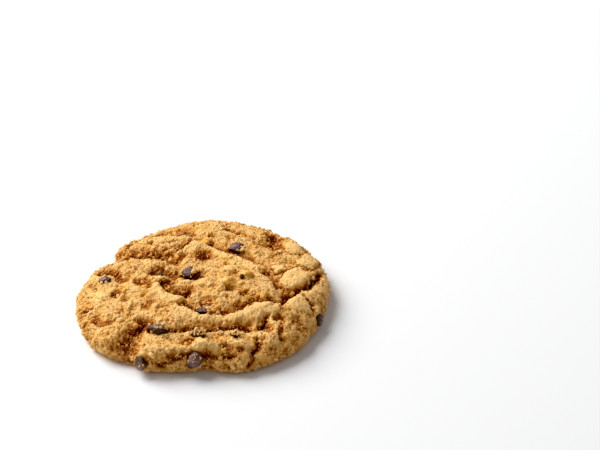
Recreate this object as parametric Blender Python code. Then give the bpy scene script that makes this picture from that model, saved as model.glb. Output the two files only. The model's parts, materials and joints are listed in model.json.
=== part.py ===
import math

import bmesh
import bpy
import numpy as np
from mathutils import Matrix, Vector

MM = 0.001

# The baked round in millimetres: a superellipse from the middle of the top to the waist of the rim,
# then a quarter ellipse that tucks in to the table.
RADIUS = 42.0
CROWN = 12.0
WAIST = 3.2
SHOULDER = 2.8
TUCK = 2.8
CENTRE = (0.27, -0.78)  # the middle of the finished outline, which becomes the origin

GRID = 64  # squares across the top
BLUR = 0.3  # the relief is averaged over places this far round each point
FOLD_WAVER = 0.6  # how far the lines of the folds wander
FOLD_DROP = 1.5  # how far behind the lip a fold is deepest
LIP_WIDTH = 2.2  # half the width of a lip that stands up
LOW_LIP_WIDTH = 3.4  # and of one that lies low
LUMP = 4.6  # width of a lump of dough
LUMP_RISE = 0.6

CHIP_SIDES = 12
CHIP_RINGS = 6
CHIP_DEPTH = 2.2  # half the thickness of a chip, below its widest line
CHIP_GAP = 0.3

# How far the rim stands out: direction in degrees, half width in degrees, millimetres.
LOBES = (
    (226, 26, 3.4),
    (248, 9, 1.6),
    (300, 20, 3.0),
    (322, 9, 0.8),
    (272, 8, -0.4),
    (122, 24, -3.2),
    (156, 11, -6.6),
    (175, 8, -2.2),
    (342, 12, -0.5),
    (88, 10, 0.9),
)

# A fold of dough laid over the next: the line of its lip from left to right in millimetres along the crust,
# how deep it drops behind the lip, how far the slope up again runs, how high the lip stands, how smooth it is,
# and how much the slope is a round roll.
FOLDS = {
    "back_rim": (
        ((-36, 14), (-33.7, 17.1), (-28, 19.8), (-24.6, 23), (-19.7, 25.8), (-11.3, 25.4), (-2.4, 24.3)),
        3.2,
        6.0,
        0.4,
        0.3,
        0.0,
    ),
    "upper_left": (
        ((-38, 6.5), (-32.4, 7.8), (-27.2, 11), (-20.1, 9.6), (-14.2, 7.1), (-8.4, 3.8)),
        3.4,
        6.5,
        0.4,
        0.3,
        0.0,
    ),
    "middle_left": (
        ((-41.1, 5.6), (-36.7, 1.9), (-32.4, 0.8), (-29.8, -2.2), (-28.2, -6.5)),
        2.2,
        3.0,
        0.3,
        0.3,
        0.0,
    ),
    "middle": (
        ((-20.2, 0.7), (-17, -1.7), (-13.5, -1.6), (-10.2, -3.4), (-4, -4.5), (2, -3.5)),
        2.4,
        4.0,
        0.4,
        0.4,
        0.0,
    ),
    "left_inner": (((-24.2, -2.7), (-21.9, -6.9), (-19.2, -8.8), (-16.9, -10.3)), 2.4, 3.5, 0.3, 0.4, 0.0),
    "mid_inner": (
        ((-16, -3), (-15.1, -5.7), (-13.6, -9.2), (-11.6, -11.4), (-9, -13.1), (-6.8, -14.2), (-4.3, -16)),
        2.8,
        4.5,
        0.6,
        0.8,
        0.0,
    ),
    "smile": (
        (
            (-9, -17.2), (-5, -20.5), (-2.2, -22.7), (1.3, -24.4), (6.1, -24.3), (10.3, -23.4),
            (14.4, -20.3), (19.3, -17.5), (24.3, -16.9), (27, -17.3),
        ),
        2.6,
        4.6,
        0.8,
        0.75,
        0.2,
    ),
    "right_crevice": (
        (
            (26.5, -18.2), (28.3, -15.3), (29.7, -13), (31.7, -11), (35.1, -7.6), (37.1, -5.7),
            (38.6, -2.6), (40.9, 1.4), (41.5, 8),
        ),
        3.3,
        1.5,
        0.4,
        0.6,
        0.0,
    ),
    "front": (
        (
            (-17.4, -25), (-17, -28.5), (-15.4, -30.2), (-11.5, -31.2), (-3.1, -32.0), (3, -32.1),
            (7.8, -30.6), (13.6, -30), (17.9, -30.4),
        ),
        3.0,
        3.9,
        -0.7,
        0.3,
        0.9,
    ),
    "front_right": (((18.5, -31.5), (21, -27), (24, -22)), 2.4, 2.2, 0.2, 0.3, 0.4),
    "chip_trough": (
        (
            (-7.8, 12.9), (-5.8, 17), (-2.6, 19.4), (2, 15.8), (7, 12.2), (10.9, 10.2), (14.2, 7.5),
            (18.1, 4.1), (21.3, 2),
        ),
        2.4,
        4.0,
        0.7,
        0.6,
        0.3,
    ),
    "back_inner": (((4, 30), (11, 26), (18, 22.5)), 2.0, 3.5, 0.3, 0.2, 0.3),
    "right_inner": (((17, 1), (22, -4), (24, -10)), 1.4, 2.5, 0.3, 0.2, 0.0),
    "left_outer": (((-37, -20), (-31, -25.3), (-26, -26)), 1.4, 2.5, 0.3, 0.1, 0.0),
}

# A crack: its line, depth and half width.
CRACKS = {
    "front_left": (
        (
            (-17.3, -23), (-18.4, -26.5), (-20.8, -29.8), (-22.4, -33.5), (-24, -38), (-24.2, -43),
            (-24.2, -49),
        ),
        2.6,
        2.7,
    ),
    "right": (((33.5, -10), (35.6, -12.6), (37, -14), (37.5, -17.5)), 1.9, 0.9),
    "left": (((-39.5, -14.5), (-36.5, -16.2), (-34, -14.8)), 1.8, 1.1),
    "right_long": (((24.5, -20), (25.6, -25), (25, -30), (27.5, -33)), 1.2, 0.9),
    "front_face": (((18.1, -31.6), (18.4, -35), (16.6, -37.8), (17.4, -40.5), (16, -44)), 1.9, 1.1),
    "under_lip": (((-11, -42.5), (-6, -41.5), (-1, -41.8), (5, -41.6), (12, -39.8)), 1.0, 1.2),
    "back_notch": (((21.8, 31), (23.7, 25.7), (24.0, 20.3), (22.8, 16.0)), 2.9, 2.9),
}

# A hollow: place, radius, depth.
HOLLOWS = (
    (0, 11.5, 3.4, 2.4),
    (-29, 16.5, 3.0, 1.4),
    (-17.3, 11.8, 2.5, 1.8),
    (-11.1, 13.8, 1.7, 1.4),
    (2, -16.5, 2.6, 1.4),
    (9.2, -8.7, 1.9, 1.4),
    (14, -11, 1.6, 1.2),
    (-28, -10.3, 1.8, 1.5),
    (-24.5, -13.5, 1.5, 1.0),
    (8.5, 24, 1.8, 1.2),
    (2.3, 24.5, 1.5, 1.3),
    (15.5, 10.2, 1.7, 1.3),
    (23.6, 22, 2.2, 1.0),
    (30.5, -22.6, 2.0, 0.8),
    (33, -25.0, 2.2, 0.8),
    (20.7, -27.2, 2.1, 1.7),
    (24.0, -23.8, 1.2, 1.1),
    (-19.5, -36.5, 2.6, 1.2),
    (-3.5, -36, 2.2, 1.7),
    (-12, -43.5, 2.2, 1.4),
    (-8.5, -40.8, 1.8, 1.3),
    (8.5, -38, 2.6, 1.5),
    (13, -38, 1.5, 1.2),
    (3, -43, 2.6, 1.5),
    (-34, 3, 2.0, 0.8),
    (27.5, -12, 2.2, 1.3),
    (3.5, -49, 3.0, 2.6),
    (-22, -49.5, 2.0, 1.6),
    (-16.1, -15.8, 1.7, 1.1),
    (-17.2, -18.5, 1.5, 1.0),
    (18.8, 21, 2.4, 1.0),
)

# A swelling: place, radius, rise, and how smooth its crust is from 0 to 1.
SWELLS = (
    (20, -20.5, 4.0, 0.9, 0.9),
    (32, -15.5, 4.0, 1.2, 0.9),
    (0, -37, 2.8, 0.8, 0.9),
    (14.2, -1.4, 1.9, 1.2, 0.7),
    (20.1, -13.4, 2.1, 1.2, 0.7),
    (-0.1, 21.7, 1.7, 1.2, 0.7),
    (8.6, 2.3, 1.6, 0.8, 0.9),
    (9, -5.2, 2.0, 1.0, 0.8),
    (28, 20, 4.5, 0.7, 0.7),
    (22.4, -31.7, 2.8, 0.9, 0.3),
    (26.3, -25.2, 1.8, 0.7, 0.2),
    (-13, -36, 4.5, 0.8, 0.3),
    (-30, -31, 5.0, 0.7, 0.3),
    (-3, 18.0, 3.0, 0.8, 0.7),
    (-33, -11, 4.0, 0.5, 0.5),
    (-12, -26, 3.0, 0.4, 0.2),
    (30, -28, 4.0, 0.6, 0.2),
)

# A plate of smooth crust with a step round it: place, length, width, how far its long side is turned, rise.
PLATES = {
    "wide": ((31.2, -1.6), 12.6, 8.0, 58, 1.3),
    "small": ((25.4, 3.4), 5.4, 4.4, 20, 0.9),
    "outer": ((35.6, 11.8), 9.5, 6.0, 70, 0.9),
    "back": ((30.5, 19.0), 8.0, 6.0, 110, 0.7),
}

# A shoulder of the rim: its line, half width and rise.
SHELVES = {
    "front": (
        (
            (-19.3, -34.8), (-15.9, -37.3), (-11.6, -38.8), (-7.4, -38.8), (-1.4, -38.4), (5, -38),
            (10.2, -36.6), (16.9, -35.6),
        ),
        2.4,
        1.2,
    ),
}

# A chip on the crust: place, length, width, how far its long side is turned, how far it stands proud of its
# widest line, and how far that line is lifted off the crust.
CHIPS = {
    "chip_01": ((11.0, 16.1), 5.6, 5.2, 20, 1.5, 0.0),
    "chip_02": ((-4.3, 0.7), 6.6, 4.6, 5, 1.3, 0.2),
    "chip_03": ((-32.6, -2.8), 4.4, 3.8, -10, 1.2, 0.0),
    "chip_04": ((-12.8, -30.0), 6.4, 3.6, -22, 1.5, 1.3),
    "chip_05": ((-0.3, -32.9), 5.2, 3.4, 0, 1.0, 0.8),
    "chip_06": ((11.0, -32.0), 2.8, 2.4, 0, 0.8, 0.6),
    "chip_07": ((-1.2, -43.3), 5.8, 5.6, 60, 1.9, 0.2),
    "chip_08": ((-17.8, -40.8), 4.8, 4.2, 70, 1.7, 0.2),
    "chip_09": ((41.2, -17.5), 4.4, 3.8, 60, 1.6, 0.0),
    "chip_10": ((0.9, -20.0), 4.4, 2.8, -8, 0.8, 0.2),
    "chip_11": ((-7.5, 44.2), 5.2, 4.4, 15, 1.5, 0.0),
    "chip_12": ((22.5, 38.6), 4.6, 4.0, -30, 1.4, 0.0),
}

# A chip that shows in the underside: place and width.
UNDER_CHIPS = {
    "chip_13": ((-13.5, 16.0), 5.4),
    "chip_14": ((19.0, -11.5), 4.8),
}
UNDER_DEPTH = 2.6  # how far such a chip reaches up into the dough
UNDER_LIFT = 0.15  # and how far it stays clear of the table


def hash01(i, j, seed):
    """A number from 0 to 1 for each lattice cell."""
    h = (i.astype(np.int64) * 374761393 + j.astype(np.int64) * 668265263 + seed * 1442695041) & 0xFFFFFFFF
    h = ((h ^ (h >> 13)) * 1274126177) & 0xFFFFFFFF
    h = ((h ^ (h >> 16)) * 2246822519) & 0xFFFFFFFF
    return ((h ^ (h >> 15)) & 0xFFFFFF) / 0xFFFFFF


def noise(u, v, size, seed):
    """Lattice noise from -1 to 1: random slopes at the corners of each cell, blended by a quintic curve."""
    x, y = u / size, v / size
    i, j = np.floor(x), np.floor(y)
    fx, fy = x - i, y - j
    sx = fx**3 * (fx * (fx * 6 - 15) + 10)
    sy = fy**3 * (fy * (fy * 6 - 15) + 10)
    total = np.zeros_like(x)
    for a in (0, 1):
        for b in (0, 1):
            turn = 2 * np.pi * hash01(i + a, j + b, seed)
            slope = np.cos(turn) * (fx - a) + np.sin(turn) * (fy - b)
            total += slope * (sx if a else 1 - sx) * (sy if b else 1 - sy)
    return 1.5 * total


def layered_noise(u, v, size, seed):
    return sum(0.5**k * noise(u, v, size / 2**k, seed + k) for k in range(3))


def lumps(u, v, size, seed):
    """A heap of rounded blocks: one in each lattice cell, of random place, turn, width and height, the top one showing."""
    x, y = u / size, v / size
    i, j = np.floor(x), np.floor(y)
    top = np.zeros_like(x)
    for a in (-1, 0, 1):
        for b in (-1, 0, 1):
            ci, cj = i + a, j + b
            cx = ci + 0.15 + 0.7 * hash01(ci, cj, seed) - x
            cy = cj + 0.15 + 0.7 * hash01(ci, cj, seed + 1) - y
            width = 0.45 + 0.4 * hash01(ci, cj, seed + 2)
            turn = np.pi * hash01(ci, cj, seed + 3)
            stretch = 0.75 + 0.5 * hash01(ci, cj, seed + 4)
            du = np.abs(np.cos(turn) * cx + np.sin(turn) * cy) / (width * stretch)
            dv = np.abs(-np.sin(turn) * cx + np.cos(turn) * cy) / (width / stretch)
            inside = np.clip(1 - du**2.6 - dv**2.6, 0, 1)
            lean = 0.35 * (hash01(ci, cj, seed + 5) - 0.5) * (cx + cy)
            top = np.maximum(top, inside**0.45 * (0.5 + 0.5 * hash01(ci, cj, seed + 6) + lean))
    return top


def smooth_line(points, steps=8):
    """A Catmull-Rom curve through the points."""
    p = np.array(points, float)
    p = np.vstack([2 * p[0] - p[1], p, 2 * p[-1] - p[-2]])
    t = np.linspace(0, 1, steps, endpoint=False)[:, None]
    out = []
    for a, b, c, d in zip(p, p[1:], p[2:], p[3:]):
        out.append(0.5 * (2 * b + (c - a) * t + (2 * a - 5 * b + 4 * c - d) * t**2 + (3 * b - a - 3 * c + d) * t**3))
    return np.vstack(out + [p[-2:-1]])


def near_line(u, v, points):
    """The distance to the curve, positive on its left hand, the way along it, and its length."""
    line = smooth_line(points)
    ways = np.append(0, np.cumsum(np.hypot(*np.diff(line, axis=0).T)))
    best = np.full(u.shape, 1e9)
    signed = np.zeros(u.shape)
    along = np.zeros(u.shape)
    for way, (x0, y0), (x1, y1) in zip(ways, line, line[1:]):
        dx, dy = x1 - x0, y1 - y0
        t = np.clip(((u - x0) * dx + (v - y0) * dy) / (dx * dx + dy * dy), 0, 1)
        ex, ey = u - x0 - t * dx, v - y0 - t * dy
        square = ex * ex + ey * ey
        closer = square < best
        best = np.where(closer, square, best)
        signed = np.where(closer, np.sign(dx * ey - dy * ex) * np.sqrt(square), signed)
        along = np.where(closer, way + t * math.hypot(dx, dy), along)
    return signed, along, ways[-1]


def bell(u, v, x, y, radius):
    return np.exp(-((((u - x) ** 2 + (v - y) ** 2) / radius**2) ** 1.3))


def fold_form(u, v, number, points, depth, run, rise, calm, roundness):
    """A lip with a drop just behind it and a slope up again: its height, and how smooth it makes the crust."""
    d, along, length = near_line(u, v, points)
    ends = np.clip(np.minimum(along, length - along) / 3.0, 0, 1)
    ends = ends * ends * (3 - 2 * ends)
    flute = noise(along / 2.2, d / 8.0, 1.0, 201 + number)
    up = np.clip(d - FOLD_DROP, 0, None) / (run * (1 + 0.3 * flute))
    drop = np.exp(-1.5 * (np.clip(FOLD_DROP - d, 0, None) / 0.9) ** 1.3)
    roll = 1 - (1 - np.clip(1 - up / 1.3, 0, 1) ** 1.8) ** (1 / 1.8)
    rising = (1 - roundness) * np.exp(-((1.1 * up) ** 2)) + roundness * roll
    slope = np.where(d > FOLD_DROP, rising, drop)
    lip = np.exp(-(((d + 1.4) / (LIP_WIDTH if rise > 0 else LOW_LIP_WIDTH)) ** 2))
    fluting = 0.5 * flute * min(depth, 2.5) * up * np.exp(1 - 2.2 * up)
    return ends * (rise * lip - depth * slope + fluting), calm * ends * np.exp(-(((d + 1.7) / 2.0) ** 2))


def crack_height(u, v, points, depth, half_width):
    d, along, length = near_line(u, v, points)
    ends = np.clip(np.minimum(along, length - along) / 2.0, 0, 1)
    return -depth * ends * np.exp(-((np.abs(d) / half_width) ** 1.8))


def plate_shape(u, v, place, length, width, turn):
    """From 1 on a plate to 0 beside it, with a steep edge."""
    a = math.radians(turn)
    du = (math.cos(a) * (u - place[0]) + math.sin(a) * (v - place[1])) / (length / 2)
    dv = (-math.sin(a) * (u - place[0]) + math.cos(a) * (v - place[1])) / (width / 2)
    return np.exp(-(np.abs(du) ** 7 + np.abs(dv) ** 7))


def shelf_form(u, v, points, half_width, rise):
    """A shoulder of the rim: its height, and how smooth it makes the crust."""
    d, along, length = near_line(u, v, points)
    ends = np.clip(np.minimum(along, length - along) / 4.0, 0, 1)
    return rise * ends * np.exp(-((d / half_width) ** 2)), 0.5 * ends * np.exp(-(((d - 1.0) / half_width) ** 2))


def relief(u, v):
    """How far the crust stands above the smooth round, at places along the crust."""
    wu = u + FOLD_WAVER * layered_noise(u, v, 5.0, 11)
    wv = v + FOLD_WAVER * layered_noise(u, v, 5.0, 21)
    height = 0.4 * layered_noise(u, v, 11.0, 31)
    smooth = np.zeros_like(u)
    for number, fold in enumerate(FOLDS.values()):
        rise, calm = fold_form(wu, wv, number, *fold)
        height += rise
        smooth = np.maximum(smooth, calm)
    for crack in CRACKS.values():
        height += crack_height(wu, wv, *crack)
    for x, y, radius, depth in HOLLOWS:
        height -= depth * bell(wu, wv, x, y, radius)
    for x, y, radius, rise, calm in SWELLS:
        lift = bell(wu, wv, x, y, radius)
        height += rise * lift
        smooth = np.maximum(smooth, calm * np.clip(1.4 * lift, 0, 1))
    for *plate, rise in PLATES.values():
        flat = plate_shape(wu, wv, *plate)
        height += rise * flat
        smooth = np.maximum(smooth, flat)
    for shelf in SHELVES.values():
        rise, calm = shelf_form(wu, wv, *shelf)
        height += rise
        smooth = np.maximum(smooth, calm)
    return height + LUMP_RISE * (1 - 0.85 * smooth) * (lumps(wu, wv, LUMP, 71) - 0.65)


def soft_relief(u, v):
    """The relief averaged over a small square, so that the coarse grid holds its form and not its grain."""
    steps = (-BLUR, 0, BLUR)
    return sum(relief(u + du, v + dv) for du in steps for dv in steps) / len(steps) ** 2


def section(steps=1500):
    """The way along the crust, the radius and the height, from the middle of the top to the table."""
    t = np.linspace(np.pi / 2, 0, steps)
    r = RADIUS * np.cos(t) ** (2 / SHOULDER)
    z = WAIST + (CROWN - WAIST) * np.sin(t) ** (2 / SHOULDER)
    under = np.linspace(0, np.pi / 2, steps // 4)[1:]
    r = np.append(r, RADIUS - TUCK * (1 - np.cos(under)))
    z = np.append(z, WAIST * (1 - np.sin(under)))
    return np.append(0, np.cumsum(np.hypot(np.diff(r), np.diff(z)))), r, z


def smooth_round(u, v, along, radii, heights):
    """Points of the round without its relief."""
    q = np.hypot(u, v)
    angle = np.arctan2(v, u)
    stand_out = np.zeros_like(angle)
    for direction, half_width, out in LOBES:
        turn = (np.degrees(angle) - direction + 180) % 360 - 180
        stand_out += out * np.exp(-((turn / half_width) ** 2))
    r = np.interp(q, along, radii)
    r = r * (1 + stand_out / RADIUS * (r / RADIUS) ** 2)
    return np.stack([r * np.cos(angle), r * np.sin(angle), np.interp(q, along, heights)], -1)


def crust(u, v):
    """Points of the crust and its directions outward."""
    profile = section()
    base = smooth_round(u, v, *profile)
    step = 0.05
    across = smooth_round(u + step, v, *profile) - smooth_round(u - step, v, *profile)
    away = smooth_round(u, v + step, *profile) - smooth_round(u, v - step, *profile)
    outward = np.cross(across, away)
    outward /= np.linalg.norm(outward, axis=-1, keepdims=True)
    foot = np.clip((profile[0][-1] - np.hypot(u, v)) / 3.0, 0, 1)
    foot = foot * foot * (3 - 2 * foot)
    points = base + outward * (foot * soft_relief(u, v))[..., None]
    points[..., 2] = np.maximum(points[..., 2], 0)
    points[..., 0] -= CENTRE[0]
    points[..., 1] -= CENTRE[1]
    return points, outward


def disc_grid(count):
    """A square grid drawn on a disc: each square ring becomes a circle, its points spread evenly round it."""
    line = np.linspace(-1, 1, count + 1)
    x, y = np.meshgrid(line, line)
    ring = np.maximum(np.abs(x), np.abs(y))
    wide = np.abs(x) >= np.abs(y)
    across = np.where(wide, np.where(x == 0, 1, x), 1)
    away = np.where(wide, 1, y)
    turn = np.where(wide, np.pi / 4 * y / across, np.pi / 2 - np.pi / 4 * x / away)
    side = np.where(np.where(wide, x, y) < 0, -1, 1)
    return ring * side * np.cos(turn), ring * side * np.sin(turn)


def new_object(name, verts, faces, material=None):
    mesh = bpy.data.meshes.new(name)
    mesh.from_pydata([tuple(MM * float(c) for c in vert) for vert in verts], [], faces)
    bm = bmesh.new()
    bm.from_mesh(mesh)
    bmesh.ops.recalc_face_normals(bm, faces=bm.faces)
    bm.to_mesh(mesh)
    bm.free()
    obj = bpy.data.objects.new(name, mesh)
    bpy.context.scene.collection.objects.link(obj)
    if material:
        mesh.materials.append(material)
    return obj


def short_side(points, a, b, c, d):
    """The two triangles of a square, split along its shorter diagonal."""
    if math.dist(points[a], points[c]) < math.dist(points[b], points[d]):
        return [(a, b, c), (a, c, d)]
    return [(a, b, d), (b, c, d)]


def dough_mesh():
    """The crust as a grid, closed below by rings of half as many points each, down to one in the middle."""
    u, v = disc_grid(GRID)
    rim_way = section()[0][-1]
    points, _ = crust(rim_way * u, rim_way * v)
    verts = [tuple(point) for point in points.reshape(-1, 3)]
    row = GRID + 1
    faces = []
    for j in range(GRID):
        for i in range(GRID):
            a = j * row + i
            faces += short_side(verts, a, a + 1, a + 1 + row, a + row)
    ring = list(range(GRID))
    ring += [j * row + GRID for j in range(GRID)]
    ring += [GRID * row + GRID - i for i in range(GRID)]
    ring += [(GRID - j) * row for j in range(GRID)]
    shrink = 0.8
    while len(ring) > 16:
        inner = []
        for k in range(0, len(ring), 2):
            x, y, z = verts[ring[k]]
            inner.append(len(verts))
            verts.append((shrink * x, shrink * y, z))
        for k, near in enumerate(inner):
            a, b, c = (ring[(2 * k + n) % len(ring)] for n in range(3))
            far = inner[(k + 1) % len(inner)]
            faces += [(a, near, b), (b, near, far), (b, far, c)]
        ring = inner
        shrink = 0.65
    verts.append((-CENTRE[0], -CENTRE[1], 0))
    faces += [(ring[k], len(verts) - 1, ring[(k + 1) % len(ring)]) for k in range(len(ring))]
    return verts, faces


def spun(profile, sides):
    """A closed body turned about Z: the first and the last point of the profile lie on the axis."""
    verts = [(0, 0, profile[0][1])]
    for r, z in profile[1:-1]:
        for k in range(sides):
            turn = 2 * math.pi * k / sides
            verts.append((r * math.cos(turn), r * math.sin(turn), z))
    verts.append((0, 0, profile[-1][1]))
    faces = []
    for k in range(sides):
        n = (k + 1) % sides
        faces.append((0, 1 + n, 1 + k))
        for ring in range(len(profile) - 3):
            low, high = 1 + ring * sides, 1 + (ring + 1) * sides
            faces.append((low + k, low + n, high + n, high + k))
        last = 1 + (len(profile) - 3) * sides
        faces.append((last + k, last + n, len(verts) - 1))
    return verts, faces


def chip_shape(length, width, proud, grow=0.0):
    """A half-melted drop about its own middle: round below, a blunt peak above."""
    profile = []
    for k in range(CHIP_RINGS + 1):
        t = math.pi * (k / CHIP_RINGS - 0.5)
        up = proud + grow if t > 0 else CHIP_DEPTH + grow
        profile.append((math.cos(t) ** 0.8 if 0 < k < CHIP_RINGS else 0.0, up * math.sin(t)))
    verts, faces = spun(profile, CHIP_SIDES)
    half_length = length / 2 + grow
    half_width = width / 2 + grow
    return [(half_length * x, half_width * y, z) for x, y, z in verts], faces


def chip_stand(place, turn, lift):
    """Where a chip sits on the crust, and its rotation: square to the crust round it, its long side turned."""
    near = np.array([(0, 0), (1.2, 0), (-1.2, 0), (0, 1.2), (0, -1.2)]) + place
    points, outward = crust(near[:, 0], near[:, 1])
    slope = np.cross(points[1] - points[2], points[3] - points[4])
    normal = (Vector(outward[0]) + Vector(slope).normalized()).normalized()
    across = (Vector((1, 0, 0)) - normal * normal.x).normalized()
    frame = Matrix((across, normal.cross(across), normal)).transposed()
    middle = Vector(points.mean(0)) + lift * normal
    return middle, (frame @ Matrix.Rotation(math.radians(turn), 3, "Z")).to_euler()


def under_chip_shape(width, grow=0.0):
    """A chip cut level with the underside: a low drop, its wide face down. Its socket runs on below the table."""
    base = UNDER_LIFT - 8 * grow
    profile = [(0, base), (width / 2 + grow, base)]
    for k in range(4):
        t = math.pi / 2 * k / 4
        profile.append(((width / 2 + grow) * math.cos(t) ** 0.8, 0.5 + (UNDER_DEPTH + grow) * math.sin(t)))
    profile.append((0, 0.5 + UNDER_DEPTH + grow))
    return spun(profile, CHIP_SIDES)


def new_material(name, colour, roughness):
    material = bpy.data.materials.new(name)
    material.use_nodes = True
    shader = material.node_tree.nodes["Principled BSDF"]
    shader.inputs["Base Color"].default_value = (*colour, 1)
    shader.inputs["Roughness"].default_value = roughness
    return material


def add_chip(name, shape, values, location, rotation, chocolate, sockets):
    """A chip, and the cutter that opens its socket in the dough."""
    for suffix, grow in (("", 0.0), ("_socket", CHIP_GAP)):
        piece = new_object(name + suffix, *shape(*values, grow=grow), None if suffix else chocolate)
        piece.location = MM * Vector(location)
        piece.rotation_euler = rotation
        if suffix:
            bpy.context.scene.collection.objects.unlink(piece)
            sockets.objects.link(piece)
            piece.hide_render = True
            piece.display_type = "WIRE"


def main():
    for obj in list(bpy.data.objects):
        bpy.data.objects.remove(obj)
    baked = new_material("baked_dough", (0.58, 0.3, 0.085), 0.9)
    chocolate = new_material("chocolate", (0.061, 0.021, 0.012), 0.5)
    dough = new_object("dough", *dough_mesh(), baked)
    sockets = bpy.data.collections.new("sockets")
    bpy.context.scene.collection.children.link(sockets)
    for name, (place, length, width, turn, proud, lift) in CHIPS.items():
        add_chip(name, chip_shape, (length, width, proud), *chip_stand(place, turn, lift), chocolate, sockets)
    for name, (place, width) in UNDER_CHIPS.items():
        add_chip(name, under_chip_shape, (width,), (*place, 0), (0, 0, 0), chocolate, sockets)
    cut = dough.modifiers.new("sockets", "BOOLEAN")
    cut.operand_type = "COLLECTION"
    cut.collection = sockets
    cut.operation = "DIFFERENCE"


main()
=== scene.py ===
import json
import math

import bmesh
import bpy
import numpy as np
from mathutils import Matrix, Vector

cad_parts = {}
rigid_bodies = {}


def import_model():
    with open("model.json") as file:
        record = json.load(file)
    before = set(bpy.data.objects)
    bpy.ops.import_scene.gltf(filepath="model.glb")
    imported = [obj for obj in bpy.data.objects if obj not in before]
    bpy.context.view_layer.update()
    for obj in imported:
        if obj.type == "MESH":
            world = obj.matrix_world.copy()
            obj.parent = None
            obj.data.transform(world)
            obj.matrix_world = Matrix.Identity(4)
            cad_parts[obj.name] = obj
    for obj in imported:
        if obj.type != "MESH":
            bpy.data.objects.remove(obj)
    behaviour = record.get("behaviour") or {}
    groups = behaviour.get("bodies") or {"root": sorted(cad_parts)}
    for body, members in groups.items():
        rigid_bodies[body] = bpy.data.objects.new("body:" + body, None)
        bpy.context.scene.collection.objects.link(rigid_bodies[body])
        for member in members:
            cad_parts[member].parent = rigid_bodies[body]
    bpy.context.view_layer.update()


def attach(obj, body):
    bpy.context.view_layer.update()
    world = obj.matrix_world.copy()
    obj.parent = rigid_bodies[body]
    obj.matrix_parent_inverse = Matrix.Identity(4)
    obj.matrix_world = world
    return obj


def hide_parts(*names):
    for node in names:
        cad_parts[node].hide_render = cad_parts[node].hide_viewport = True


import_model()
mm = 0.001

cookie = {  # the baked round, in millimetres
    "radius": 42.0,
    "crown": 12.0,  # height in the middle
    "waist": 3.2,  # height of the widest line of the rim
    "shoulder": 2.8,  # power of the superellipse from the crown to the waist
    "tuck": 2.8,  # how far the rim turns in below the waist
    "centre": (0.27, -0.78),
    "gridCount": 306,  # squares across the crust
    "foot": 3.0,  # how far from the floor the relief starts to fade out
    "softened": 0.3,  # half the side of the square that the solids average the relief over
    "sideways": 0.28, "sidewaysSize": 1.5,  # how far the crumb is pushed sideways, and over what length
}
lobes = (  # where the rim stands out: direction and half width in degrees, millimetres
    (226, 26, 3.4), (248, 9, 1.6), (300, 20, 3), (322, 9, 0.8), (272, 8, -0.4), (122, 24, -3.2), (156, 11, -6.6),
    (175, 8, -2.2), (342, 12, -0.5), (88, 10, 0.9),
)
foldLook = {
    "broad": 0.4, "broadSize": 11,  # the slow rise and fall of the whole crust
    "waver": 0.6, "waverSize": 5,  # how far the lines wander, and over what length
    "ends": 3,  # how long a fold takes to begin and to end
    "lip": 1.4, "lipWidth": 2.2, "sunkWidth": 3.4,  # where the lip stands before the line, its width raised or sunk
    "drop": 1.5, "dropWidth": 0.9,  # how far behind the line the deepest place is, how wide the drop
    "fluting": 0.5, "fluteSize": (2.2, 8),  # the furrows that run up the slope, their size along and across
    "ragged": 0.35, "raggedSize": 1.9,  # the edges of the pieces of smooth crust
    "lumpRise": 0.6, "lumpSize": 4.6,
}
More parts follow.
